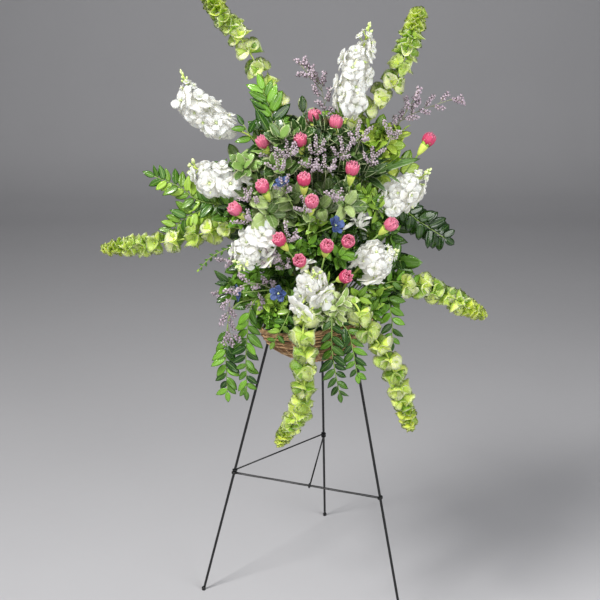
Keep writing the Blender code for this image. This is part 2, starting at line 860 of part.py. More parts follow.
# Bells of Ireland: points of the spike, length that carries cups, whorls after which a length stays bare
BELLS = {
    "bells_upper_left": ([(-0.070, -0.130, 1.130), (-0.091, -0.125, 1.175), (-0.140, -0.120, 1.265),
                          (-0.175, -0.118, 1.309), (-0.206, -0.115, 1.350)], 0.245, (7, 9)),
    "bells_upper_right": ([(0.055, -0.120, 1.105), (0.090, -0.125, 1.155), (0.140, -0.135, 1.215),
                           (0.175, -0.130, 1.320)], 0.235, (7, 8)),
    "bells_left": ([(-0.145, -0.180, 0.930), (-0.270, -0.160, 0.905), (-0.420, -0.140, 0.880)], 0.290, (9,)),
    "bells_right": ([(0.135, -0.220, 0.830), (0.200, -0.210, 0.825), (0.315, -0.200, 0.765)], 0.200, (9,)),
    "bells_hanging_left": ([(-0.010, -0.275, 0.815), (-0.032, -0.305, 0.785), (-0.032, -0.300, 0.720),
                            (-0.035, -0.295, 0.620), (-0.078, -0.290, 0.535)], 0.305, (9,)),
    "bells_hanging_right": ([(0.060, -0.260, 0.812), (0.085, -0.270, 0.765), (0.125, -0.265, 0.710),
                             (0.160, -0.260, 0.610), (0.175, -0.260, 0.555)], 0.285, (9,)),
}
BELLS_STEM = (0.0023, 0.0012)
BELLS_CUP = 0.0205
BELLS_TIP = (0.008, 0.008, 0.015)
CUP_LEAN = 0.60
CUP_SPACING = 1.10
WHORL_TURN = 1.25

# Stock: points of the stem, length of the head, floret size, buds at the tip
STOCKS = {
    "stock_top": ([(0.046, -0.175, 1.150), (0.083, -0.170, 1.300)], 0.148, 0.0185, 4),
    "stock_upper_left": ([(-0.120, -0.150, 1.090), (-0.180, -0.145, 1.123), (-0.225, -0.140, 1.150),
                          (-0.256, -0.135, 1.215)], 0.130, 0.0175, 4),
    "stock_left": ([(-0.140, -0.190, 1.002), (-0.240, -0.170, 1.050)], 0.100, 0.0180, 3),
    "stock_left_centre": ([(-0.110, -0.222, 0.928), (-0.146, -0.285, 0.893)], 0.062, 0.0205, 2),
    "stock_centre": ([(-0.017, -0.262, 0.832), (-0.014, -0.310, 0.884)], 0.062, 0.0205, 3),
    "stock_right_centre": ([(0.073, -0.235, 0.873), (0.135, -0.262, 0.912)], 0.066, 0.0190, 3),
    "stock_right": ([(0.122, -0.190, 0.975), (0.200, -0.175, 1.042)], 0.095, 0.0180, 4),
}
STOCK_STEM = (0.0026, 0.0018)
STOCK_CORE = 0.0165
STOCK_BUD = (0.0042, 0.0042, 0.019)
FLORET_STEP = 0.0145

# Spray carnations: where the trunk aims, and the middle of each bloom
CARNATIONS = {
    "carnation_spray_top": ((-0.030, -0.190, 1.060), [
        (-0.107, -0.197, 1.100), (-0.039, -0.222, 1.108), (-0.012, -0.164, 1.142), (0.026, -0.195, 1.136)]),
    "carnation_spray_left": ((-0.060, -0.225, 0.960), [
        (-0.106, -0.253, 1.031), (-0.157, -0.241, 0.986), (-0.032, -0.266, 1.047), (-0.018, -0.280, 1.010)]),
    "carnation_spray_right": ((0.060, -0.210, 0.960), [
        (0.054, -0.248, 1.062), (0.202, -0.150, 1.097), (0.126, -0.253, 0.961), (0.047, -0.287, 0.939)]),
    "carnation_spray_centre": ((-0.010, -0.245, 0.880), [
        (-0.076, -0.286, 0.942), (-0.040, -0.294, 0.905), (0.009, -0.293, 0.932), (0.044, -0.289, 0.873)]),
}
CARNATION_STEM = (0.0022, 0.0015)
CALYX_LENGTH = 0.021
CALYX_RADIUS = (0.0036, 0.0080)
PINK_RADIUS = 0.0130
PINK_HEIGHT = 0.0270
FORK_SHARE = 0.3

# Ruscus: for each branch its points and where its leaves begin
LEAFY = {
    "ruscus_top": [
        ([(-0.095, -0.180, 1.085), (-0.090, -0.172, 1.140), (-0.106, -0.165, 1.190)], 0.120),
        ([(-0.095, -0.180, 1.085), (-0.122, -0.185, 1.100), (-0.142, -0.190, 1.131)], 0.020)],
    "ruscus_left": [
        ([(-0.138, -0.150, 0.976), (-0.185, -0.150, 0.972), (-0.236, -0.145, 0.980), (-0.267, -0.140, 1.003),
          (-0.318, -0.135, 1.024)], 0.110),
        ([(-0.185, -0.150, 0.972), (-0.240, -0.150, 0.956), (-0.271, -0.145, 0.936), (-0.292, -0.140, 0.912)],
         0.014)],
    "ruscus_right": [
        ([(0.136, -0.160, 0.968), (0.192, -0.150, 0.938), (0.244, -0.140, 0.902)], 0.110)],
    "ruscus_lower_left": [
        ([(-0.118, -0.235, 0.814), (-0.140, -0.250, 0.733), (-0.143, -0.245, 0.612)], 0.060),
        ([(-0.118, -0.235, 0.814), (-0.165, -0.225, 0.790), (-0.181, -0.235, 0.720), (-0.181, -0.235, 0.604)],
         0.018)],
    "ruscus_lower_right": [
        ([(0.111, -0.200, 0.826), (0.138, -0.200, 0.765), (0.142, -0.195, 0.705)], 0.050)],
    "ruscus_front": [
        ([(0.018, -0.262, 0.790), (0.022, -0.272, 0.715), (0.037, -0.268, 0.628)], 0.030),
        ([(0.018, -0.262, 0.790), (0.050, -0.270, 0.760), (0.060, -0.272, 0.725), (0.070, -0.268, 0.668)],
         0.020)],
    "ruscus_front_left": [
        ([(-0.048, -0.262, 0.815), (-0.066, -0.280, 0.783), (-0.088, -0.275, 0.738)], 0.030)],
}
RUSCUS_STEM = (0.0016, 0.0009)
LEAF_THICKNESS = 0.0016
RUSCUS = Foliage(NARROW_LEAF, 0.042, 1.0, 0.0245, 0.75, (0.1, -1.0, 0.25), 0.25)

# Variegated pittosporum: for each branch its points and where its leaves begin
VARIEGATED = {
    "pittosporum_upper_right": [
        ([(0.050, -0.105, 0.930), (0.111, -0.092, 1.104)], 0.090),
        ([(0.022, -0.100, 0.950), (0.038, -0.085, 1.127)], 0.040),
        ([(0.090, -0.110, 0.900), (0.160, -0.098, 1.037)], 0.030)],
    "pittosporum_upper_left": [
        ([(-0.085, -0.108, 0.905), (-0.160, -0.092, 1.046)], 0.090),
        ([(-0.110, -0.115, 0.870), (-0.193, -0.098, 0.957)], 0.030)],
    "pittosporum_centre": [
        ([(-0.050, -0.102, 0.930), (-0.101, -0.086, 1.119)], 0.090),
        ([(-0.020, -0.100, 0.950), (-0.033, -0.085, 1.138)], 0.040)],
    "pittosporum_lower_right": [
        ([(0.090, -0.115, 0.850), (0.171, -0.100, 0.938)], 0.060),
        ([(0.100, -0.150, 0.820), (0.155, -0.140, 0.850)], 0.030)],
}
VARIEGATED_STEM = (0.0016, 0.0010)
FORK_REACH = 0.058
PITTOSPORUM = Foliage(BROAD_LEAF, 0.060, 1.1, 0.0295, 0.80, (0.0, -1.0, 0.15), 0.7)

# Limonium: for each twig its points and where its florets begin
LIMONIUM = {
    "limonium_top": [
        ([(0.008, -0.135, 1.128), (0.002, -0.130, 1.183), (-0.015, -0.125, 1.222)], 0.290),
        ([(0.002, -0.130, 1.183), (-0.044, -0.120, 1.236)], 0.012)],
    "limonium_right": [
        ([(0.118, -0.130, 1.090), (0.160, -0.125, 1.133), (0.237, -0.120, 1.164), (0.260, -0.120, 1.170)],
         0.350),
        ([(0.145, -0.126, 1.118), (0.180, -0.130, 1.180)], 0.012)],
}
LIMONIUM_STEM = (0.0012, 0.0008)
LIMONIUM_FLORET = (0.0034, 0.0034, 0.0100)
LIMONIUM_STEP = 0.0200

# Delphinium: where the trunk ends, and the middle of each floret
DELPHINIUM = {
    "delphinium_upper": ((-0.026, -0.225, 0.930), [(-0.070, -0.258, 1.035), (0.023, -0.280, 0.966)]),
    "delphinium_lower": ((-0.066, -0.230, 0.830), [(-0.078, -0.280, 0.838), (-0.150, -0.250, 0.828)]),
}
DELPHINIUM_STEM = (0.0016, 0.0011)
DELPHINIUM_PETAL = 0.019


def plan_bells(blank_tree):
    """Stand the bells' spikes; their cups come later."""
    green = finish("bell_green", (0.42, 0.60, 0.08), 0.5)
    plan = []
    for name, (points, length, gaps) in BELLS.items():
        plant = Grower(name, green)
        route = plant.stem(planted(points[0], BELLS_STEM[0], blank_tree) + points, BELLS_STEM)
        plan.append((plant, grow_bells, (route, route.length - length, gaps)))
    return plan


def plan_stocks(blank_tree):
    """Stand the stocks' stems and cores; their florets come later."""
    white = finish("stock_white", (0.86, 0.87, 0.80), 0.6)
    plan = []
    for name, (points, length, size, buds) in STOCKS.items():
        plant = Grower(name, white)
        route = Route(smooth_route(planted(points[0], STOCK_STEM[0], blank_tree) + points, 0.020))
        plant.solid(stock_spike(route, route.length - length))
        plan.append((plant, grow_stock, (route, route.length - length, size, buds)))
    return plan


def plan_carnations(blank_tree):
    """Stand the branched sprays with their calyxes, and seat a bloom on each."""
    green = finish("calyx_green", (0.36, 0.50, 0.08), 0.5)
    pink = finish("carnation_pink", (0.72, 0.09, 0.22), 0.55)
    plan = []
    for name, (trunk, blooms) in CARNATIONS.items():
        plant = Grower(name, green)
        route = plant.stem(planted(trunk, CARNATION_STEM[0], blank_tree) + [trunk], CARNATION_STEM)
        straight = HOLE_DEPTH + HOLE_STRAIGHT
        fork = route.at(straight + FORK_SHARE * (route.length - straight))[0]
        for number, bloom in enumerate(blooms):
            bloom = Vector(bloom)
            face = (bloom - fork).normalized()
            seat = bloom - face * (PINK_HEIGHT / 2)
            neck = seat - face * CALYX_LENGTH
            line = [fork, neck, neck + face * CALYX_LENGTH * 0.25, seat]
            plant.solid(tube(line, [CARNATION_STEM[1], CARNATION_STEM[1], *CALYX_RADIUS], 0))
            head = Grower(f"{name.replace('spray', 'bloom')}_{number + 1}", pink)
            axes = oriented_to(face, Vector((0, 0, 1)))
            size = (PINK_RADIUS, PINK_RADIUS, PINK_HEIGHT)
            head.solid(mesh_of(set_out(PINK[0], seat + face * GAP, axes, size), PINK[1]))
            plan.append((head, None, ()))
        plan.append((plant, None, ()))
    return plan


def plan_branches(blank_tree, table, stem, material, grow, *kind):
    """Stand branched stems, each node with one trunk in the foam; what grows on them comes later."""
    plan = []
    for name, branches in table.items():
        plant = Grower(name, material)
        trunk = None
        for points, start in branches:
            if trunk is None:
                foot = planted(points[0], stem[0], blank_tree)
            elif table is VARIEGATED:
                foot = [trunk.at(FORK_REACH)[0]]
            else:
                foot = []
            route = plant.stem(foot + points, stem)
            trunk = trunk or route
            plan.append((plant, grow, (route, start, *kind)))
    return plan


def plan_delphinium(blank_tree):
    """Stand the delphinium's forked stems; their petals come later."""
    blue = finish("delphinium_blue", (0.06, 0.09, 0.30), 0.5)
    plan = []
    for name, (trunk, blooms) in DELPHINIUM.items():
        plant = Grower(name, blue)
        plant.stem(planted(trunk, DELPHINIUM_STEM[0], blank_tree) + [trunk], DELPHINIUM_STEM)
        for bloom in blooms:
            plan.append((plant, grow_petals, (plant.stem([trunk, bloom], DELPHINIUM_STEM),)))
    return plan


def build_flowers():
    """All stems first, then florets and leaves, each kept clear of what stands already."""
    blank = foam_blank()
    space.claim_mesh("floral_foam", blank)
    corners = [Vector(v.co) for v in blank.vertices]
    blank_tree = BVHTree.FromPolygons(corners, [tuple(p.vertices) for p in blank.polygons])
    leaf_green = finish("leaf_green", (0.09, 0.24, 0.04), 0.4)
    variegated = finish("variegated_green", (0.26, 0.42, 0.13), 0.45)
    lilac = finish("limonium_lilac", (0.46, 0.38, 0.48), 0.8)
    plan = plan_bells(blank_tree) + plan_stocks(blank_tree) + plan_carnations(blank_tree)
    plan += plan_branches(blank_tree, LEAFY, RUSCUS_STEM, leaf_green, grow_leaves, RUSCUS)
    plan += plan_branches(blank_tree, VARIEGATED, VARIEGATED_STEM, variegated, grow_leaves, PITTOSPORUM)
    plan += plan_branches(blank_tree, LIMONIUM, LIMONIUM_STEM, lilac, grow_beads)
    plan += plan_delphinium(blank_tree)
    for plant, grow, details in plan:
        if grow is not None:
            grow(plant, *details)
    for plant in dict.fromkeys(plant for plant, _, _ in plan):
        plant.build()
    build_foam(finish("foam_green", (0.05, 0.16, 0.06), 0.9), blank)


def settle_origin():
    """Move the object so that the middle of its box stands over the origin."""
    bpy.context.view_layer.update()
    corners = np.array([tuple(v.co) for thing in parts.objects for v in thing.data.vertices])
    middle = (corners.min(axis=0) + corners.max(axis=0)) / 2
    stand = bpy.data.objects.new("origin", None)
    bpy.context.scene.collection.objects.link(stand)
    for thing in parts.objects:
        thing.parent = stand
    stand.location = (-middle[0], -middle[1], 0.0)


def main():
    """Build the spray."""
    clear_scene()
    black = finish("easel_black", (0.015, 0.017, 0.017), 0.42, 0.6)
    build_easel(black)
    for thing in parts.objects:
        space.claim_mesh(thing.name, thing.data)
    build_bowl(finish("wicker_brown", (0.36, 0.19, 0.08), 0.75))
    build_ties(black)
    build_liner(finish("liner_green", (0.04, 0.10, 0.05), 0.5))
    build_flowers()
    settle_origin()


main()
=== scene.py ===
"""A standing funeral spray: white stock, pink carnations, bells of Ireland and foliage on a wire easel.

The design is laid out in metres round the easel's crown, whose axis is X = Y = 0, with the front towards -Y.
"""
import json
import logging
import math
import random
from dataclasses import dataclass, field
from enum import Enum
from typing import Callable, Iterable, Sequence

import bmesh
import bpy
import numpy as np
from mathutils import Matrix, Quaternion, Vector

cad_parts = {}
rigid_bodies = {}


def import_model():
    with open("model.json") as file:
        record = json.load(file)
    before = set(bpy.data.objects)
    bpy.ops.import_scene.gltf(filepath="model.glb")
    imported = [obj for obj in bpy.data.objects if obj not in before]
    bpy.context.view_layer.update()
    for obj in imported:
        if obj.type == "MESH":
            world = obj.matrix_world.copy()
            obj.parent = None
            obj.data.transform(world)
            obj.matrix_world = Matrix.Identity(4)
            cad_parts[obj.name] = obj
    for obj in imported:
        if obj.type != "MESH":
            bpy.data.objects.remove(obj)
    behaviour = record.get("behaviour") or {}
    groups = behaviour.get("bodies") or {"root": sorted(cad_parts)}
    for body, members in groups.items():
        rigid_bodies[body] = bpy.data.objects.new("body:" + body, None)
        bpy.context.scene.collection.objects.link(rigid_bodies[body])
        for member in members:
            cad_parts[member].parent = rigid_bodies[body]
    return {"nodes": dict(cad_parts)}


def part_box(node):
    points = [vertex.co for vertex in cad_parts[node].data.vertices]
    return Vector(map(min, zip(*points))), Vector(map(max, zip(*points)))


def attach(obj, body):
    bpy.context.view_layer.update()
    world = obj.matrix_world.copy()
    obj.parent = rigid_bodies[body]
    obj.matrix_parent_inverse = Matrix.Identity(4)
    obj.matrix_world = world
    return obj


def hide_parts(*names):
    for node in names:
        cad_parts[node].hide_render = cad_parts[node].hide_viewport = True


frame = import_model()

LOG = logging.getLogger("funeral_spray")
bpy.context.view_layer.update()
GOLDEN_ANGLE = math.radians(137.5)
MERGE = 0.00001
Point = tuple[float, float, float]
Colour = tuple[float, float, float]


def part_shift() -> Vector:
    """The step from the design's axes to the part's frame, read from the crown's place."""
    low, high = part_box("leg_crown")
    return Vector(((low[0] + high[0]) / 2, (low[1] + high[1]) / 2, 0.0))


SHIFT = part_shift()


class Leafage(Enum):
    """The kinds of leaf in the spray."""

    RUSCUS = "ruscus"
    MID = "mid"
    SMALL = "small"
    BRIGHT = "bright"
    LIGHT = "light"
    VARIEGATED = "variegated"
    YELLOW = "yellow"
    PALE = "pale"
    STRAP = "strap"
    DARK = "dark"
    WHITE = "white"


# Shader node groups


class Graph:
    """Short ways to place and join nodes in one node tree."""

    def __init__(self, tree: bpy.types.NodeTree) -> None:
        """Args: tree: the tree to build in."""
        self.tree = tree

    def node(self, kind: str, **values: object) -> bpy.types.Node:
        """Add a node.

        Args:
            kind: the node's type name.
            values: properties to set on it.

        Returns:
            The node.
        """
        node = self.tree.nodes.new(kind)
        for name, value in values.items():
            setattr(node, name, value)
        return node

    def feed(self, socket: bpy.types.NodeSocket, value: object) -> None:
        """Join an output to a socket, or set the socket's own value."""
        if isinstance(value, bpy.types.NodeSocket):
            self.tree.links.new(value, socket)
        elif isinstance(value, tuple) and len(value) == 3 and socket.type == "RGBA":
            socket.default_value = (*value, 1.0)
        else:
            socket.default_value = value

    def math(self, operation: str, *values: object) -> bpy.types.NodeSocket:
        """A Math node's result for its inputs in order."""
        node = self.node("ShaderNodeMath", operation=operation)
        for socket, value in zip(node.inputs, values):
            self.feed(socket, value)
        return node.outputs[0]

    def ramp(self, value: object, low: float, high: float, to_low: float = 0.0, to_high: float = 1.0) -> bpy.types.NodeSocket:
        """A smooth clamped step of a value from one range to another."""
        node = self.node("ShaderNodeMapRange", interpolation_type="SMOOTHSTEP")
        for socket, number in zip(node.inputs, (value, low, high, to_low, to_high)):
            self.feed(socket, number)
        return node.outputs[0]

    def mix(self, share: object, first: object, second: object) -> bpy.types.NodeSocket:
        """A colour between two by a share."""
        node = self.node("ShaderNodeMix", data_type="RGBA")
        self.feed(node.inputs[0], share)
        self.feed(node.inputs[6], first)
        self.feed(node.inputs[7], second)
        return node.outputs[2]

    def noise(self, place: object, scale: float, detail: float = 2.0) -> bpy.types.NodeSocket:
        """Noise from 0 to 1 at a place."""
        node = self.node("ShaderNodeTexNoise")
        self.feed(node.inputs["Vector"], place)
        node.inputs["Scale"].default_value = scale
        node.inputs["Detail"].default_value = detail
        return node.outputs["Fac"]


def new_group(name: str, inputs: Sequence[tuple[str, str, object]], outputs: Sequence[tuple[str, str]]) -> Graph:
    """Start a shader node group with named sockets.

    Args:
        name: the group's name.
        inputs: name, socket type and default of each input.
        outputs: name and socket type of each output.

    Returns:
        The graph to build the group in, with its group input and output nodes added.
    """
    tree = bpy.data.node_groups.new(name, "ShaderNodeTree")
    for title, kind, default in inputs:
        socket = tree.interface.new_socket(title, in_out="INPUT", socket_type=kind)
        socket.default_value = default
    for title, kind in outputs:
        tree.interface.new_socket(title, in_out="OUTPUT", socket_type=kind)
    return Graph(tree)


def blade_group() -> bpy.types.NodeTree:
    """Masks that follow a blade's own length and width: its rib, side veins, edge and mottling."""
    number = "NodeSocketFloat"
    graph = new_group(
        "blade_marks",
        [("Veins", number, 9.0), ("Edge Start", number, 0.8)],
        [("Rib", number), ("Vein", number), ("Edge", number), ("Mottle", number), ("Along", number)],
    )
    entry = graph.node("NodeGroupInput")
    uv = graph.node("ShaderNodeUVMap", uv_map="blade")
    split = graph.node("ShaderNodeSeparateXYZ")
    graph.feed(split.inputs[0], uv.outputs[0])
    along = split.outputs[0]
    side = graph.math("ABSOLUTE", graph.math("SUBTRACT", graph.math("MULTIPLY", split.outputs[1], 2.0), 1.0))
    place = graph.node("ShaderNodeTexCoord").outputs["Object"]
    mottle = graph.noise(place, 160.0, 3.0)
    rib = graph.ramp(side, 0.10, 0.02)
    wave = graph.math("SUBTRACT", graph.math("MULTIPLY", along, entry.outputs["Veins"]), graph.math("MULTIPLY", side, 1.6))
    vein = graph.ramp(graph.math("ABSOLUTE", graph.math("SINE", graph.math("MULTIPLY", wave, math.pi))), 0.30, 0.0)
    ragged = graph.math("ADD", side, graph.math("MULTIPLY", graph.math("SUBTRACT", mottle, 0.5), 0.5))
    edge = graph.ramp(graph.math("SUBTRACT", ragged, entry.outputs["Edge Start"]), -0.05, 0.10)
    leave = graph.node("NodeGroupOutput")
    for name, value in (("Rib", rib), ("Vein", vein), ("Edge", edge), ("Mottle", mottle), ("Along", along)):
        graph.feed(leave.inputs[name], value)
    return graph.tree


def tone_group() -> bpy.types.NodeTree:
    """A piece's own tone, mixed with fine and broad noise over the surface."""
    number = "NodeSocketFloat"
    graph = new_group("tone_variation", [("Broad Scale", number, 14.0), ("Fine Scale", number, 220.0)],
                      [("Tone", number), ("Fine", number)])
    entry = graph.node("NodeGroupInput")
    tone = graph.node("ShaderNodeAttribute", attribute_name="tone").outputs["Fac"]
    place = graph.node("ShaderNodeTexCoord").outputs["Object"]
    broad = graph.node("ShaderNodeTexNoise")
    fine = graph.node("ShaderNodeTexNoise")
    for texture, title in ((broad, "Broad Scale"), (fine, "Fine Scale")):
        graph.feed(texture.inputs["Vector"], place)
        graph.feed(texture.inputs["Scale"], entry.outputs[title])
    mixed = graph.math("ADD", graph.math("MULTIPLY", tone, 0.65), graph.math("MULTIPLY", broad.outputs["Fac"], 0.35))
    leave = graph.node("NodeGroupOutput")
    graph.feed(leave.inputs["Tone"], mixed)
    graph.feed(leave.inputs["Fine"], fine.outputs["Fac"])
    return graph.tree


class Shared:
    """The shader node groups that several finishes use, built once."""

    blade: bpy.types.NodeTree
    tone: bpy.types.NodeTree

    @classmethod
    def build(cls) -> None:
        """Build the groups."""
        cls.blade = blade_group()
        cls.tone = tone_group()


def start_material(name: str) -> tuple[bpy.types.Material, Graph, bpy.types.Node]:
    """A new material with its graph and its Principled shader."""
    material = bpy.data.materials.new(name)
    material.use_nodes = True
    graph = Graph(material.node_tree)
    return material, graph, material.node_tree.nodes["Principled BSDF"]


def add_bump(graph: Graph, shader: bpy.types.Node, height: object, strength: float, distance: float) -> None:
    """Feed a height into the shader's normal."""
    bump = graph.node("ShaderNodeBump")
    bump.inputs["Strength"].default_value = strength
    bump.inputs["Distance"].default_value = distance
    graph.feed(bump.inputs["Height"], height)
    graph.feed(shader.inputs["Normal"], bump.outputs[0])


# Finishes


@dataclass(frozen=True)
class LeafFinish:
    """A leaf: a deep and a light green, a rib and veins, and an edge of its own colour."""

    name: str
    deep: Colour
    light: Colour
    rib: Colour
    edge: Colour
    edge_start: float = 1.4
    veins: float = 9.0
    vein_share: float = 0.15
    gloss: tuple[float, float] = (0.30, 0.48)
    wax: float = 0.30

    def make(self) -> bpy.types.Material:
        """Build the material."""
        material, graph, shader = start_material(self.name)
        marks = graph.node("ShaderNodeGroup", node_tree=Shared.blade)
        marks.inputs["Veins"].default_value = self.veins
        marks.inputs["Edge Start"].default_value = self.edge_start
        tone = graph.node("ShaderNodeGroup", node_tree=Shared.tone)
        share = graph.ramp(tone.outputs["Tone"], 0.25, 0.75)
        colour = graph.mix(share, self.deep, self.light)
        patchy = graph.math("MULTIPLY", graph.ramp(marks.outputs["Mottle"], 0.35, 0.75, 0.0, 0.5), share)
        mottled = graph.mix(patchy, colour, self.light)
        veined = graph.mix(graph.math("MULTIPLY", marks.outputs["Vein"], self.vein_share), mottled, self.rib)
        ribbed = graph.mix(graph.math("MULTIPLY", marks.outputs["Rib"], 0.42), veined, self.rib)
        graph.feed(shader.inputs["Base Color"], graph.mix(marks.outputs["Edge"], ribbed, self.edge))
        graph.feed(shader.inputs["Roughness"], graph.ramp(tone.outputs["Fine"], 0.3, 0.7, *self.gloss))
        height = graph.math("ADD", graph.math("MULTIPLY", marks.outputs["Vein"], -0.5), graph.math("MULTIPLY", marks.outputs["Rib"], -1.0))
        add_bump(graph, shader, height, 0.35, 0.0006)
        shader.inputs["Specular IOR Level"].default_value = 0.32
        shader.inputs["Coat Weight"].default_value = self.wax
        shader.inputs["Coat Roughness"].default_value = 0.16
        return material


@dataclass(frozen=True)
class CupFinish:
    """A bell's cup: green outside, pale and net-veined inside, with a faint painted glow (emission) that stands in for
    light shining through the thin cup.
    """

    name: str
    deep: Colour
    light: Colour
    inside: Colour
    vein: Colour
    glow: float = 0.4
    painted_glow: float = 0.02

    def make(self) -> bpy.types.Material:
        """Build the material."""
        material, graph, shader = start_material(self.name)
        tone = graph.node("ShaderNodeGroup", node_tree=Shared.tone)
        uv = graph.node("ShaderNodeUVMap", uv_map="blade")
        split = graph.node("ShaderNodeSeparateXYZ")
        graph.feed(split.inputs[0], uv.outputs[0])
        inner = graph.ramp(split.outputs[0], 0.98, 1.06)
        place = graph.node("ShaderNodeTexCoord").outputs["Object"]
        net = graph.node("ShaderNodeTexVoronoi", feature="DISTANCE_TO_EDGE")
        graph.feed(net.inputs["Vector"], place)
        net.inputs["Scale"].default_value = 230.0
        veins = graph.ramp(net.outputs["Distance"], 0.10, 0.02)
        ribs = graph.ramp(graph.math("ABSOLUTE", graph.math("SINE", graph.math("MULTIPLY", split.outputs[1], 5 * math.pi))), 0.16, 0.02)
        share = graph.ramp(tone.outputs["Tone"], 0.20, 0.75)
        skin = graph.mix(share, self.deep, self.light)
        # Cups of low tone get a dimmer inside, so a spike's painted shade at its tip reaches into the hollows of its
        # cups as well; elsewhere this follows the cups' random tone.
        dim = tuple(0.5 * low + 0.5 * high for low, high in zip(self.deep, self.light))
        lined = graph.mix(inner, skin, graph.mix(share, dim, self.inside))
        marked = graph.mix(graph.math("MULTIPLY", graph.math("MAXIMUM", veins, ribs), 0.14), lined, self.vein)
        rim = graph.ramp(graph.math("ABSOLUTE", graph.math("SUBTRACT", split.outputs[0], 1.0)), 0.10, 0.02, 0.0, 0.35)
        graph.feed(shader.inputs["Base Color"], graph.mix(rim, marked, self.vein))
        graph.feed(shader.inputs["Roughness"], graph.ramp(tone.outputs["Fine"], 0.3, 0.7, 0.38, 0.58))
        add_bump(graph, shader, graph.math("MAXIMUM", veins, ribs), 0.20, 0.0004)
        shader.inputs["Subsurface Weight"].default_value = self.glow
        shader.inputs["Subsurface Radius"].default_value = (0.006, 0.008, 0.002)
        shader.inputs["Subsurface Scale"].default_value = 1.0
        # Painted glow: the cup's own colour is emitted weakly, standing in for light that shines through it.
        graph.feed(shader.inputs["Emission Color"], lined)
        shader.inputs["Emission Strength"].default_value = self.painted_glow
        return material


@dataclass(frozen=True)
class PetalFinish:
    """A petal: one colour at its root, one at its edge, with fine streaks along it, and a painted glow (emission) of
    its body colour that lightens its shade.
    """

    name: str
    root: Colour
    body: Colour
    edge: Colour
    edge_start: float = 0.75
    streak: float = 0.25
    gloss: tuple[float, float] = (0.50, 0.68)
    glow: float = 0.15
    depth: float = 0.004
    painted_glow: float = 0.0

    def make(self) -> bpy.types.Material:
        """Build the material."""
        material, graph, shader = start_material(self.name)
        tone = graph.node("ShaderNodeGroup", node_tree=Shared.tone)
        uv = graph.node("ShaderNodeUVMap", uv_map="blade")
        split = graph.node("ShaderNodeSeparateXYZ")
        graph.feed(split.inputs[0], uv.outputs[0])
        along = graph.math("PINGPONG", split.outputs[0], 1.0)
        stretch = graph.node("ShaderNodeCombineXYZ")
        graph.feed(stretch.inputs[0], graph.math("MULTIPLY", split.outputs[0], 2.0))
        graph.feed(stretch.inputs[1], graph.math("MULTIPLY", split.outputs[1], 60.0))
        graph.feed(stretch.inputs[2], graph.math("MULTIPLY", tone.outputs["Tone"], 9.0))
        streaks = graph.noise(stretch.outputs[0], 1.0, 2.0)
        body = graph.mix(graph.ramp(tone.outputs["Tone"], 0.2, 0.8, 0.0, 0.6), self.body, self.edge)
        streaked = graph.mix(graph.math("MULTIPLY", graph.ramp(streaks, 0.45, 0.7), self.streak), body, self.root)
        rooted = graph.mix(graph.ramp(along, 0.45, 0.02), streaked, self.root)
        graph.feed(shader.inputs["Base Color"], graph.mix(graph.ramp(along, self.edge_start, 1.0), rooted, self.edge))
        graph.feed(shader.inputs["Roughness"], graph.ramp(tone.outputs["Fine"], 0.3, 0.7, *self.gloss))
        add_bump(graph, shader, graph.math("ADD", streaks, tone.outputs["Fine"]), 0.25, 0.0004)
        shader.inputs["Subsurface Weight"].default_value = self.glow
        shader.inputs["Subsurface Radius"].default_value = (1.0, 0.85, 0.7)
        shader.inputs["Subsurface Scale"].default_value = self.depth
        # Painted glow: the body colour is emitted, lightening the petal's shaded sides as painted light.
        graph.feed(shader.inputs["Emission Color"], body)
        shader.inputs["Emission Strength"].default_value = self.painted_glow
        return material


@dataclass(frozen=True)
class StemFinish:
    """A stem: two greens in streaks."""

    name: str
    deep: Colour
    light: Colour
    gloss: tuple[float, float] = (0.40, 0.60)

    def make(self) -> bpy.types.Material:
        """Build the material."""
        material, graph, shader = start_material(self.name)
        tone = graph.node("ShaderNodeGroup", node_tree=Shared.tone)
        tone.inputs["Broad Scale"].default_value = 60.0
        tone.inputs["Fine Scale"].default_value = 700.0
        graph.feed(shader.inputs["Base Color"], graph.mix(graph.ramp(tone.outputs["Tone"], 0.1, 0.35), self.deep, self.light))
        graph.feed(shader.inputs["Roughness"], graph.ramp(tone.outputs["Fine"], 0.3, 0.7, *self.gloss))
        add_bump(graph, shader, tone.outputs["Fine"], 0.3, 0.0004)
        return material


@dataclass(frozen=True)
class EnamelFinish:
    """Black enamel on steel wire, with a grey worn sheen in places."""

    name: str = "easel_enamel"
    coat: Colour = (0.003, 0.0035, 0.004)
    worn: Colour = (0.025, 0.027, 0.028)

    def make(self) -> bpy.types.Material:
        """Build the material."""
        material, graph, shader = start_material(self.name)
        place = graph.node("ShaderNodeTexCoord").outputs["Object"]
        patches = graph.noise(place, 35.0, 4.0)
        pits = graph.noise(place, 900.0, 2.0)
        wear = graph.ramp(patches, 0.60, 0.78)
        graph.feed(shader.inputs["Base Color"], graph.mix(wear, self.coat, self.worn))
        graph.feed(shader.inputs["Roughness"], graph.ramp(patches, 0.3, 0.8, 0.26, 0.42))
        graph.feed(shader.inputs["Metallic"], graph.math("MULTIPLY", wear, 0.8))
        add_bump(graph, shader, pits, 0.25, 0.0003)
        return material


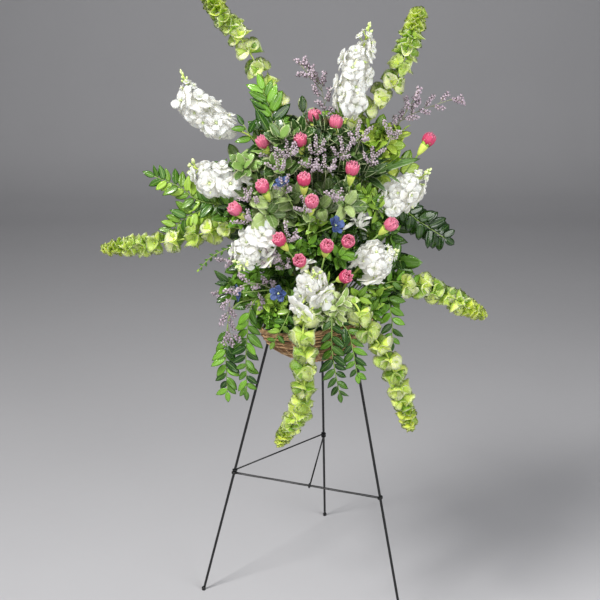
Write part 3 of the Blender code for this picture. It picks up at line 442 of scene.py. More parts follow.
@dataclass(frozen=True)
class WillowFinish:
    """Natural willow: warm browns that change from strand to strand, with grain along them."""

    name: str = "wicker_willow"
    dark: Colour = (0.17, 0.075, 0.028)
    light: Colour = (0.86, 0.55, 0.28)

    def make(self) -> bpy.types.Material:
        """Build the material."""
        material, graph, shader = start_material(self.name)
        tone = graph.node("ShaderNodeGroup", node_tree=Shared.tone)
        tone.inputs["Broad Scale"].default_value = 30.0
        tone.inputs["Fine Scale"].default_value = 420.0
        grain = graph.ramp(tone.outputs["Fine"], 0.35, 0.65)
        share = graph.math("ADD", graph.math("MULTIPLY", graph.ramp(tone.outputs["Tone"], 0.15, 0.8), 0.8), graph.math("MULTIPLY", grain, 0.2))
        graph.feed(shader.inputs["Base Color"], graph.mix(share, self.dark, self.light))
        graph.feed(shader.inputs["Roughness"], graph.ramp(grain, 0.0, 1.0, 0.55, 0.8))
        add_bump(graph, shader, grain, 0.5, 0.0005)
        return material


@dataclass(frozen=True)
class PorousFinish:
    """A matt base with pores, for the foam and the liner's plastic."""

    name: str
    colour: Colour
    pore: Colour
    scale: float
    roughness: float
    depth: float

    def make(self) -> bpy.types.Material:
        """Build the material."""
        material, graph, shader = start_material(self.name)
        place = graph.node("ShaderNodeTexCoord").outputs["Object"]
        cells = graph.node("ShaderNodeTexVoronoi")
        graph.feed(cells.inputs["Vector"], place)
        cells.inputs["Scale"].default_value = self.scale
        share = graph.ramp(cells.outputs["Distance"], 0.15, 0.6)
        graph.feed(shader.inputs["Base Color"], graph.mix(share, self.pore, self.colour))
        graph.feed(shader.inputs["Roughness"], graph.ramp(share, 0.0, 1.0, self.roughness, self.roughness - 0.15))
        add_bump(graph, shader, share, 0.6, self.depth)
        return material


LEAF_FINISHES: dict[Leafage, LeafFinish] = {
    Leafage.RUSCUS: LeafFinish("leaf_ruscus", (0.013, 0.058, 0.004), (0.17, 0.38, 0.030), (0.34, 0.55, 0.14),
                               (0.22, 0.42, 0.07), gloss=(0.15, 0.28)),
    Leafage.MID: LeafFinish("leaf_mid", (0.010, 0.044, 0.004), (0.15, 0.33, 0.030), (0.30, 0.48, 0.14),
                            (0.18, 0.34, 0.07), gloss=(0.16, 0.30)),
    Leafage.SMALL: LeafFinish("leaf_small", (0.008, 0.036, 0.004), (0.12, 0.28, 0.030), (0.26, 0.44, 0.12),
                              (0.14, 0.30, 0.06), gloss=(0.18, 0.32)),
    Leafage.BRIGHT: LeafFinish("leaf_bright", (0.045, 0.14, 0.008), (0.36, 0.57, 0.07), (0.48, 0.66, 0.20),
                               (0.32, 0.52, 0.10), gloss=(0.16, 0.30)),
    Leafage.LIGHT: LeafFinish("leaf_light", (0.18, 0.33, 0.04), (0.60, 0.72, 0.28), (0.70, 0.78, 0.46),
                              (0.74, 0.80, 0.52), 0.62, gloss=(0.24, 0.40)),
    Leafage.VARIEGATED: LeafFinish("leaf_variegated", (0.022, 0.065, 0.010), (0.25, 0.41, 0.10),
                                   (0.30, 0.44, 0.16), (0.54, 0.62, 0.32), 0.76, 7.0, 0.25, (0.22, 0.38)),
    Leafage.YELLOW: LeafFinish("leaf_yellow", (0.15, 0.30, 0.015), (0.54, 0.68, 0.10), (0.62, 0.74, 0.26),
                               (0.58, 0.70, 0.20), 1.2, 7.0, 0.35, (0.22, 0.38)),
    Leafage.PALE: LeafFinish("leaf_pale", (0.08, 0.15, 0.030), (0.40, 0.52, 0.19), (0.52, 0.62, 0.36),
                             (0.54, 0.62, 0.36), 0.85, 6.0, 0.40, (0.28, 0.44)),
    Leafage.STRAP: LeafFinish("leaf_strap", (0.018, 0.055, 0.012), (0.13, 0.25, 0.06), (0.36, 0.45, 0.24),
                              (0.46, 0.55, 0.30), 0.80, 1.0, 0.15, (0.22, 0.38)),
    Leafage.DARK: LeafFinish("leaf_dark", (0.010, 0.040, 0.004), (0.08, 0.19, 0.020), (0.18, 0.30, 0.08),
                             (0.14, 0.25, 0.06), gloss=(0.12, 0.22), wax=0.8),
    Leafage.WHITE: LeafFinish("leaf_white", (0.58, 0.60, 0.52), (0.78, 0.79, 0.72), (0.80, 0.81, 0.76),
                              (0.82, 0.83, 0.78), 0.80, 1.0, 0.15, (0.34, 0.50)),
}
CUP_FINISH = CupFinish("bell_cup", (0.12, 0.26, 0.004), (0.60, 0.75, 0.14), (0.74, 0.82, 0.38), (0.86, 0.90, 0.60))
# The youngest cups' darker greens are partly their own colour and partly painted shade among the crowded cups at the
# tip.
BELL_TIP_FINISH = CupFinish("bell_tip", (0.16, 0.28, 0.008), (0.56, 0.69, 0.06), (0.66, 0.76, 0.16), (0.74, 0.80, 0.30))
# The stock petals get a painted glow: an emission of 0.18 that lightens their shaded sides, with their base colours set
# lower so the lit sides do not burn out.
STOCK_FINISH = PetalFinish("stock_petal", (0.66, 0.74, 0.40), (0.70, 0.69, 0.635), (0.73, 0.725, 0.68), 0.70, 0.04, glow=0.7,
                           depth=0.008, painted_glow=0.18)
BUD_FINISH = PetalFinish("stock_bud", (0.34, 0.50, 0.08), (0.50, 0.64, 0.18), (0.74, 0.80, 0.48), 0.80, 0.30)
# The carnation petals' dark root colour is painted shade in the folds where the petals crowd together at the bloom's
# heart.
PINK_FINISH = PetalFinish("carnation_petal", (0.34, 0.013, 0.058), (0.49, 0.040, 0.115), (0.66, 0.21, 0.31), 0.86, 0.55)
CALYX_FINISH = StemFinish("carnation_calyx", (0.28, 0.42, 0.04), (0.56, 0.66, 0.12))
GREEN_STEM = StemFinish("stem_green", (0.08, 0.17, 0.03), (0.22, 0.34, 0.07))
PALE_STEM = StemFinish("stem_pale", (0.28, 0.42, 0.05), (0.50, 0.62, 0.12))
GREY_STEM = StemFinish("stem_grey", (0.13, 0.15, 0.08), (0.26, 0.28, 0.17))
LILAC_FINISH = PetalFinish("limonium_floret", (0.22, 0.20, 0.14), (0.31, 0.22, 0.29), (0.52, 0.43, 0.49), 0.60, 0.20)
BLUE_FINISH = PetalFinish("delphinium_petal", (0.22, 0.30, 0.50), (0.010, 0.028, 0.13), (0.05, 0.10, 0.30), 0.70, 0.30)
FOAM_FINISH = PorousFinish("foam_pores", (0.035, 0.11, 0.04), (0.012, 0.04, 0.015), 900.0, 0.95, 0.0008)
LINER_FINISH = PorousFinish("liner_plastic", (0.03, 0.08, 0.04), (0.02, 0.06, 0.03), 260.0, 0.55, 0.0002)


# Small shapes, at unit size


class ShapeBook:
    """Unit shapes for the repeats, each kind a collection of variants in a set order."""

    def __init__(self) -> None:
        """Start with an empty book."""
        self.kinds: dict[str, bpy.types.Collection] = {}

    def add(self, kind: str, meshes: Sequence[bpy.types.Mesh]) -> None:
        """Keep the variants of one kind.

        Args:
            kind: the kind's name.
            meshes: its variants.
        """
        shelf = bpy.data.collections.new(kind)
        for number, mesh in enumerate(meshes):
            shelf.objects.link(bpy.data.objects.new(f"{kind}_{number}", mesh))
        self.kinds[kind] = shelf

    def clear(self) -> None:
        """Remove the unit shapes when all pieces are made."""
        for shelf in self.kinds.values():
            for thing in list(shelf.objects):
                bpy.data.objects.remove(thing, do_unlink=True)
            bpy.data.collections.remove(shelf)


def blade_into(
    form: bmesh.types.BMesh,
    rows: int,
    width: Callable[[float], float],
    lift: Callable[[float, float], float],
    thickness: float,
    across: Sequence[float] = (-1.0, -0.5, 0.0, 0.5, 1.0),
    ease: float = 1.0,
) -> None:
    """Add one thin closed blade along X to a form, with its length and width as its UV map.

    Args:
        form: the form to add to.
        rows: bands along the blade.
        width: half the width at a share of the length.
        lift: the height at a share of the length and of the width.
        thickness: the blade's thickness at its middle.
        across: the columns of points, from edge to edge.
        ease: how much closer the bands come towards the tip, 1 being even.
    """
    uv = form.loops.layers.uv.get("blade") or form.loops.layers.uv.new("blade")
    spots: dict[bmesh.types.BMVert, tuple[float, float]] = {}

    def corner(u: float, v: float, side: float) -> bmesh.types.BMVert:
        vert = form.verts.new((u, v * width(u), lift(u, v) + side * thickness / 2))
        spots[vert] = (u, v)
        return vert

    root, tip = corner(0.0, 0.0, 0.0), corner(1.0, 0.0, 0.0)
    faces = []
    shares = [1.0 - (1.0 - i / rows) ** ease for i in range(1, rows)]
    rims = [(corner(u, -1.0, 0.0), corner(u, 1.0, 0.0)) for u in shares]
    for side in (1.0, -1.0):
        bands = [[left, *(corner(u, v, side) for v in across[1:-1]), right] for u, (left, right) in zip(shares, rims)]
        made = []
        for j in range(len(across) - 1):
            made.append((root, bands[0][j], bands[0][j + 1]))
            made.append((bands[-1][j], tip, bands[-1][j + 1]))
            made += [(a[j], b[j], b[j + 1], a[j + 1]) for a, b in zip(bands, bands[1:])]
        faces += [corners if side > 0 else corners[::-1] for corners in made]
    for corners in faces:
        face = form.faces.new(corners)
        face.smooth = True
        for loop in face.loops:
            u, v = spots[loop.vert]
            loop[uv].uv = (u, v * 0.5 + 0.5)


def shell_into(
    form: bmesh.types.BMesh,
    outside: Sequence[tuple[float, float]],
    inside: Sequence[tuple[float, float]],
    steps: int,
    ripple: Callable[[float, float], tuple[float, float]],
) -> None:
    """Add a closed thin-walled cup round Z: up its outside, over its rim and down its inside.

    Args:
        form: the form to add to.
        outside: radius and height up the outside, from the foot to the rim.
        inside: radius and height down the inside, from below the rim to its floor.
        steps: points round the cup.
        ripple: the factor on the radius and the lift at a share of the height and an angle.
    """
    uv = form.loops.layers.uv.get("blade") or form.loops.layers.uv.new("blade")
    top = outside[-1][1]
    rings = []
    profile = [(r, z, z / top) for r, z in outside] + [(r, z, 2.0 - z / top) for r, z in inside]
    for radius, height, u in profile[1:-1]:
        share = u if u <= 1.0 else 2.0 - u
        ring = []
        for step in range(steps):
            turn = math.tau * step / steps
            wide, lift = ripple(share, turn)
            ring.append(form.verts.new((radius * wide * math.cos(turn), radius * wide * math.sin(turn), height + lift)))
        rings.append((ring, u))
    foot = form.verts.new((0.0, 0.0, profile[0][1]))
    floor = form.verts.new((0.0, 0.0, profile[-1][1]))

    def cover(corners: Sequence[bmesh.types.BMVert], marks: Sequence[tuple[float, float]]) -> None:
        face = form.faces.new(corners)
        face.smooth = True
        for loop, mark in zip(face.loops, marks):
            loop[uv].uv = mark

    for step in range(steps):
        after = (step + 1) % steps
        v0, v1 = step / steps, (step + 1) / steps
        first, u_first = rings[0]
        last, u_last = rings[-1]
        cover((foot, first[after], first[step]), ((0.0, v0), (u_first, v1), (u_first, v0)))
        cover((floor, last[step], last[after]), ((2.0, v0), (u_last, v0), (u_last, v1)))
        for (low, u0), (high, u1) in zip(rings, rings[1:]):
            cover((low[step], low[after], high[after], high[step]), ((u0, v0), (u0, v1), (u1, v1), (u1, v0)))


def mesh_from(form: bmesh.types.BMesh, name: str) -> bpy.types.Mesh:
    """A mesh of a form, which is freed."""
    mesh = bpy.data.meshes.new(name)
    form.to_mesh(mesh)
    form.free()
    return mesh


def rounded(power: float, widest: float, half: float) -> Callable[[float], float]:
    """Half widths of a leaf that is pointed at both ends.

    Args:
        power: how blunt the ends are, lower being blunter.
        widest: where along the leaf it is widest.
        half: half the width there.

    Returns:
        The half width at a share of the length.
    """
    bend = math.log(0.5) / math.log(widest)
    return lambda u: half * math.sin(math.pi * u**bend) ** power


def leaf_meshes(name: str, rows: int, width: Callable[[float], float], fold: float, arch: float, wave: float) -> list[bpy.types.Mesh]:
    """Three variants of one leaf, each with its own curl."""
    made = []
    for number, (curl, twist) in enumerate(((1.0, 0.10), (0.4, -0.16), (1.6, 0.05))):
        def lift(u: float, v: float, c: float = curl, t: float = twist) -> float:
            droop = -arch * c * u * u
            cupped = fold * abs(v) * math.sin(math.pi * min(1.0, u + 0.05))
            return droop + cupped + t * v * u * 0.3 + wave * math.sin(u * 9.0 + number) * v * v
        form = bmesh.new()
        blade_into(form, rows, width, lift, 0.012)
        made.append(mesh_from(form, f"{name}_{number}"))
    return made


def cup_meshes() -> list[bpy.types.Mesh]:
    """Five variants of a bell's shell-like cup, with a flaring lip in broad folds."""
    outside = ((0.0, 0.0), (0.34, 0.10), (0.66, 0.44), (0.88, 0.78), (1.06, 0.96))
    inside = ((0.64, 0.58), (0.0, 0.26))
    made = []
    for number in range(5):
        dice = random.Random(50 + number)
        lobes = dice.choice((2, 3))
        phase, second, third = (dice.uniform(0.0, math.tau) for _ in range(3))

        def ripple(share: float, turn: float) -> tuple[float, float]:
            strength = share**1.6
            wide = 1.0 + strength * 0.15 * math.cos(lobes * turn + phase)
            lift = strength * (0.16 * math.cos(2 * turn + second) + 0.04 * math.sin(3 * turn + third))
            return wide, lift

        form = bmesh.new()
        shell_into(form, outside, inside, 12, ripple)
        made.append(mesh_from(form, f"cup_{number}"))
    return made


def stock_petal_meshes() -> list[bpy.types.Mesh]:
    """Four variants of a stock's petal: broad, round-ended, arched across and softly crumpled."""
    made = []
    for number in range(4):
        dice = random.Random(70 + number)
        bend, arch, wave = dice.uniform(-0.26, 0.06), dice.uniform(0.08, 0.24), dice.uniform(0.0, math.tau)

        def lift(u: float, v: float) -> float:
            return bend * u * u - arch * v * v * u + 0.05 * math.sin(3.0 * v + wave) * u * u

        form = bmesh.new()
        blade_into(form, 4, lambda u: 0.60 * math.sin(math.pi * u**1.50) ** 0.48, lift, 0.035, ease=1.8)
        made.append(mesh_from(form, f"stock_petal_{number}"))
    return made


def bead_mesh(name: str, steps: int, belly: float) -> bpy.types.Mesh:
    """A small pointed bead along Z."""
    form = bmesh.new()
    shell_into(form, ((0.0, 0.0), (0.7, 0.22), (1.0, belly), (0.62, 0.82)), ((0.25, 0.95), (0.0, 1.0)), steps,
               lambda share, turn: (1.0, 0.0))
    return mesh_from(form, name)


def speck_mesh(name: str) -> bpy.types.Mesh:
    """A tiny papery floret: a funnel of five points."""
    form = bmesh.new()
    shell_into(form, ((0.0, 0.0), (0.30, 0.35), (1.0, 1.0)), ((0.35, 0.70), (0.0, 0.55)), 5,
               lambda share, turn: (1.0, 0.0))
    return mesh_from(form, name)


def petal_meshes() -> list[bpy.types.Mesh]:
    """Three variants of a broad delphinium petal."""
    made = []
    for number in range(3):
        form = bmesh.new()
        blade_into(form, 5, rounded(0.55, 0.62, 0.36),
                   lambda u, v: 0.16 * v * v + 0.05 * math.sin(7 * u + number) * v + 0.12 * u * u, 0.02)
        made.append(mesh_from(form, f"petal_{number}"))
    return made


def fill_book() -> ShapeBook:
    """Every unit shape that the pieces repeat."""
    book = ShapeBook()
    book.add("ruscus", leaf_meshes("ruscus", 6, rounded(0.85, 0.42, 0.200), 0.05, 0.10, 0.010))
    book.add("broad", leaf_meshes("broad", 6, rounded(0.70, 0.50, 0.245), 0.06, 0.16, 0.020))
    book.add("round", leaf_meshes("round", 6, rounded(0.60, 0.46, 0.300), 0.07, 0.14, 0.025))
    book.add("strap", leaf_meshes("strap", 7, rounded(0.75, 0.50, 0.085), 0.03, 0.22, 0.006))
    book.add("cup", cup_meshes())
    book.add("stock_petal", stock_petal_meshes())
    book.add("bud", [bead_mesh("bud_long", 6, 0.50)])
    book.add("speck", [speck_mesh("speck")])
    book.add("petal", petal_meshes())
    return book


# Setting out of repeats


def set_out_tree() -> bpy.types.NodeTree:
    """The Geometry Nodes tree that sets a shape on each point, turned and sized by the point's own values."""
    tree = bpy.data.node_groups.new("set_out_repeats", "GeometryNodeTree")
    graph = Graph(tree)
    for title, kind in (
        ("Geometry", "NodeSocketGeometry"), ("Shapes", "NodeSocketCollection"), ("Finish", "NodeSocketMaterial"),
        ("Size", "NodeSocketFloat"), ("Jitter", "NodeSocketFloat"), ("Seed", "NodeSocketInt"),
    ):
        tree.interface.new_socket(title, in_out="INPUT", socket_type=kind)
    tree.interface.new_socket("Geometry", in_out="OUTPUT", socket_type="NodeSocketGeometry")
    entry = graph.node("NodeGroupInput")
    shapes = graph.node("GeometryNodeCollectionInfo")
    shapes.inputs["Separate Children"].default_value = True
    shapes.inputs["Reset Children"].default_value = True
    graph.feed(shapes.inputs["Collection"], entry.outputs["Shapes"])
    turn = graph.node("GeometryNodeInputNamedAttribute", data_type="QUATERNION")
    spread = graph.node("GeometryNodeInputNamedAttribute", data_type="FLOAT_VECTOR")
    variant = graph.node("GeometryNodeInputNamedAttribute", data_type="INT")
    for node, name in ((turn, "turn"), (spread, "spread"), (variant, "variant")):
        node.inputs["Name"].default_value = name
    chance = graph.node("FunctionNodeRandomValue", data_type="FLOAT")
    graph.feed(chance.inputs[2], graph.math("SUBTRACT", 1.0, entry.outputs["Jitter"]))
    graph.feed(chance.inputs[3], graph.math("ADD", 1.0, entry.outputs["Jitter"]))
    graph.feed(chance.inputs["Seed"], entry.outputs["Seed"])
    scale = graph.node("ShaderNodeVectorMath", operation="SCALE")
    graph.feed(scale.inputs[0], spread.outputs[0])
    graph.feed(scale.inputs["Scale"], graph.math("MULTIPLY", chance.outputs[1], entry.outputs["Size"]))
    place = graph.node("GeometryNodeInstanceOnPoints")
    graph.feed(place.inputs["Points"], entry.outputs["Geometry"])
    graph.feed(place.inputs["Instance"], shapes.outputs[0])
    place.inputs["Pick Instance"].default_value = True
    graph.feed(place.inputs["Instance Index"], variant.outputs[0])
    graph.feed(place.inputs["Rotation"], turn.outputs[0])
    graph.feed(place.inputs["Scale"], scale.outputs[0])
    real = graph.node("GeometryNodeRealizeInstances")
    graph.feed(real.inputs[0], place.outputs[0])
    dress = graph.node("GeometryNodeSetMaterial")
    graph.feed(dress.inputs["Geometry"], real.outputs[0])
    graph.feed(dress.inputs["Material"], entry.outputs["Finish"])
    leave = graph.node("NodeGroupOutput")
    graph.feed(leave.inputs[0], dress.outputs[0])
    return tree


def turned_to(along: Vector, up: Vector) -> Quaternion:
    """The turn that takes X to a direction and Z near another."""
    x_axis = along.normalized()
    y_axis = up.cross(x_axis)
    if y_axis.length < 1e-5:
        y_axis = x_axis.orthogonal()
    y_axis.normalize()
    z_axis = x_axis.cross(y_axis)
    return Matrix((x_axis, y_axis, z_axis)).transposed().to_quaternion()


def facing(out: Vector, up: Vector) -> Quaternion:
    """The turn that takes Z to a direction and X near another."""
    z_axis = out.normalized()
    y_axis = z_axis.cross(up)
    if y_axis.length < 1e-5:
        y_axis = z_axis.orthogonal()
    y_axis.normalize()
    x_axis = y_axis.cross(z_axis)
    return Matrix((x_axis, y_axis, z_axis)).transposed().to_quaternion()


@dataclass
class Repeats:
    """The places of one kind of repeat in one finish."""

    kind: str
    finish: bpy.types.Material
    jitter: float = 0.08
    places: list[tuple[Vector, Quaternion, Point, float, int]] = field(default_factory=list)

    def add(self, place: Vector, turn: Quaternion, size: Point, tone: float, variant: int) -> None:
        """Keep the place of one repeat.

        Args:
            place: its root.
            turn: its turn.
            size: its size along each of its own axes.
            tone: its tone, from 0 to 1.
            variant: which variant of the kind it is.
        """
        self.places.append((place, turn, size, tone, variant))


class Workshop:
    """Turns routes and repeats into finished pieces."""

    def __init__(self) -> None:
        """Build the shapes, the tree and the materials."""
        Shared.build()
        self.book = fill_book()
        self.tree = set_out_tree()
        self.sockets = {item.name: item.identifier for item in self.tree.interface.items_tree if item.in_out == "INPUT"}
        self.leaf = {kind: finish.make() for kind, finish in LEAF_FINISHES.items()}
        self.pieces = 0

    def set_out(self, repeats: Repeats, seed: int) -> bpy.types.Object | None:
        """Grow all the repeats of one kind as one plain mesh object.

        Args:
            repeats: their places.
            seed: the seed of their size.

        Returns:
            The object, or None where there are no places.
        """
        if not repeats.places:
            return None
        spots = bpy.data.meshes.new("spots")
        spots.from_pydata([tuple(p[0]) for p in repeats.places], [], [])
        variants = len(self.book.kinds[repeats.kind].objects)
        for name, kind, key, values in (
            ("turn", "QUATERNION", "value", [c for p in repeats.places for c in p[1]]),
            ("spread", "FLOAT_VECTOR", "vector", [c for p in repeats.places for c in p[2]]),
            ("tone", "FLOAT", "value", [p[3] for p in repeats.places]),
            ("variant", "INT", "value", [p[4] % variants for p in repeats.places]),
        ):
            layer = spots.attributes.new(name, kind, "POINT")
            layer.data.foreach_set(key, values)
        thing = bpy.data.objects.new("repeats", spots)
        bpy.context.scene.collection.objects.link(thing)
        grow = thing.modifiers.new("grow", "NODES")
        grow.node_group = self.tree
        grow[self.sockets["Shapes"]] = self.book.kinds[repeats.kind]
        grow[self.sockets["Finish"]] = repeats.finish
        grow[self.sockets["Size"]] = 1.0
        grow[self.sockets["Jitter"]] = repeats.jitter
        grow[self.sockets["Seed"]] = seed
        return self.plain(thing)

    def plain(self, thing: bpy.types.Object) -> bpy.types.Object:
        """Swap an object for a plain mesh one of its evaluated shape."""
        bpy.context.view_layer.update()
        graph = bpy.context.evaluated_depsgraph_get()
        mesh = bpy.data.meshes.new_from_object(thing.evaluated_get(graph), preserve_all_data_layers=True, depsgraph=graph)
        mesh.transform(thing.matrix_world)
        made = bpy.data.objects.new(thing.name, mesh)
        bpy.context.scene.collection.objects.link(made)
        bpy.data.objects.remove(thing, do_unlink=True)
        return made

    def stems(self, lines: Iterable[tuple[Sequence[Vector], Sequence[float]]], finish: bpy.types.Material,
              resolution: int = 2, closed: bool = False, tones: Sequence[float] | None = None) -> bpy.types.Object:
        """Round stems along lines of points, as one plain mesh object.

        Args:
            lines: the points of each stem and its radius at each.
            finish: their material.
            resolution: how round they are.
            closed: whether each is a loop.
            tones: a tone for each stem.

        Returns:
            The object.
        """
        curve = bpy.data.curves.new("stems", "CURVE")
        curve.dimensions = "3D"
        curve.bevel_depth = 1.0
        curve.bevel_resolution = resolution
        curve.use_fill_caps = True
        sizes = []
        for points, radii in lines:
            line = curve.splines.new("POLY")
            line.points.add(len(points) - 1)
            line.use_cyclic_u = closed
            line.use_smooth = True
            for spot, point, radius in zip(line.points, points, radii):
                spot.co = (*point, 1.0)
                spot.radius = radius
            sizes.append(len(points))
        curve.materials.append(finish)
        thing = bpy.data.objects.new("stems", curve)
        bpy.context.scene.collection.objects.link(thing)
        made = self.plain(thing)
        form = bmesh.new()
        form.from_mesh(made.data)
        bmesh.ops.remove_doubles(form, verts=form.verts, dist=MERGE / 10)
        form.to_mesh(made.data)
        form.free()
        made.data.shade_smooth()
        tone = made.data.attributes.new("tone", "FLOAT", "POINT")
        values = np.full(len(made.data.vertices), 0.5, dtype=np.float32)
        if tones is not None:
            around = 4 + 2 * resolution
            ends = np.cumsum([size * around for size in sizes])
            order = np.searchsorted(ends, np.arange(len(values)), side="right")
            values = np.asarray(tones, dtype=np.float32)[np.minimum(order, len(tones) - 1)]
        tone.data.foreach_set("value", values)
        return made

    def finish_piece(self, name: str, things: Sequence[bpy.types.Object | None], nodes: Sequence[str]) -> None:
        """Args:
            name: the piece's name.
            things: what it is made of.
            nodes: the CAD nodes it stands for.
        """
        things = [thing for thing in things if thing is not None]
        piece = things[0]
        if len(things) > 1:
            with bpy.context.temp_override(active_object=piece, object=piece, selected_editable_objects=things,
                                           selected_objects=things):
                bpy.ops.object.join()
        piece.name = name
        piece.data.name = name
        piece.data.transform(Matrix.Translation(SHIFT))
        for spare in [layer.name for layer in piece.data.attributes if layer.name in ("turn", "spread", "variant")]:
            piece.data.attributes.remove(piece.data.attributes[spare])
        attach(piece, "root")
        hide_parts(*nodes)
        self.pieces += 1
        LOG.info("%s: %d faces", name, len(piece.data.polygons))


# Routes


def smooth_line(points: Sequence[Point | Vector], spacing: float = 0.008) -> list[Vector]:
    """Points on one smooth curve through the given points.

    Args:
        points: the points to go through.
        spacing: about how far apart the made points are.

    Returns:
        The points of the curve.
    """
    given = [Vector(p) for p in points]
    ends = [given[0] * 2 - given[1], *given, given[-1] * 2 - given[-2]]
    line = []
    for before, start, end, after in zip(ends, ends[1:], ends[2:], ends[3:]):
        steps = max(1, round((end - start).length / spacing))
        length = (end - start).length
        lead = (end - before).normalized() * length
        follow = (after - start).normalized() * length
        for step in range(steps):
            t = step / steps
            t2, t3 = t * t, t * t * t
            line.append(start * (2 * t3 - 3 * t2 + 1) + lead * (t3 - 2 * t2 + t) + end * (3 * t2 - 2 * t3) + follow * (t3 - t2))
    line.append(given[-1])
    return line


class Route:
    """A stem's line, read by its length from the foot."""

    def __init__(self, points: Sequence[Point | Vector], spacing: float = 0.008) -> None:
        """Args: points: what it goes through; spacing: about how far apart its points are."""
        self.points = smooth_line(points, spacing)
        steps = [(b - a).length for a, b in zip(self.points, self.points[1:])]
        self.lengths = np.concatenate(([0.0], np.cumsum(steps)))
        self.length = float(self.lengths[-1])

    def at(self, distance: float) -> tuple[Vector, Vector]:
        """The place and the direction at a length along the route."""
        distance = min(max(distance, 0.0), self.length - 1e-6)
        index = int(np.searchsorted(self.lengths, distance, side="right")) - 1
        start, end = self.points[index], self.points[index + 1]
        share = (distance - self.lengths[index]) / (self.lengths[index + 1] - self.lengths[index])
        return start.lerp(end, float(share)), (end - start).normalized()

    def tapered(self, thick: float, thin: float) -> tuple[list[Vector], list[float]]:
        """The route's points with radii from thick to thin."""
        count = len(self.points) - 1
        return self.points, [thick + (thin - thick) * index / count for index in range(count + 1)]


def around(direction: Vector, turn: float) -> Vector:
    """A direction square to another, turned round it."""
    side = direction.orthogonal().normalized()
    return (Matrix.Rotation(turn, 3, direction) @ side).normalized()


BOWL_FRAME = Matrix.Translation((-0.005, -0.146, 0.747)) @ Matrix.Rotation(-math.radians(10.0), 4, "Y")
BOWL_DEPTH_SCALE = 0.79
FOAM_HEART = BOWL_FRAME @ Vector((0.0, 0.0, -0.020))
FRONT = Vector((0.0, -1.0, 0.25)).normalized()


def foot_of(aim: Vector) -> list[Vector]:
    """The straight foot of a stem in the foam, on the line from the foam's heart to its aim."""
    direction = (aim - FOAM_HEART).normalized()
    flat = BOWL_FRAME.to_3x3().inverted() @ direction
    spread = Vector((flat.x / 0.085, flat.y / (0.085 * BOWL_DEPTH_SCALE), flat.z / 0.055))
    surface = FOAM_HEART + direction / max(spread.length, 1e-6)
    return [surface - direction * 0.015, surface + direction * 0.020]


def twisted(start: Vector, end: Vector, wire: float, turns: float) -> list[tuple[list[Vector], list[float]]]:
    """Two wires twisted round each other between two places."""
    axis = (end - start).normalized()
    count = round(turns * 10)
    lines = []
    for phase in (0.0, math.pi):
        points = [start.lerp(end, step / count) + around(axis, phase + math.tau * turns * step / count) * wire
                  for step in range(count + 1)]
        lines.append((points, [wire] * len(points)))
    return lines


def leaf_tone_and_inner_shade(place: Vector, dice: random.Random) -> float:
    """A leaf's tone by chance, with painted shade: darker the nearer it grows to the spray's own middle line, where the
    inside of the spray lies in shade.
    """
    height = min(1.12, max(0.76, place.z))
    inner = (place - Vector((0.0, -0.135, height))).length
    return dice.random() * min(1.0, max(0.0, (inner - 0.055) / 0.070))


# Sub-assemblies


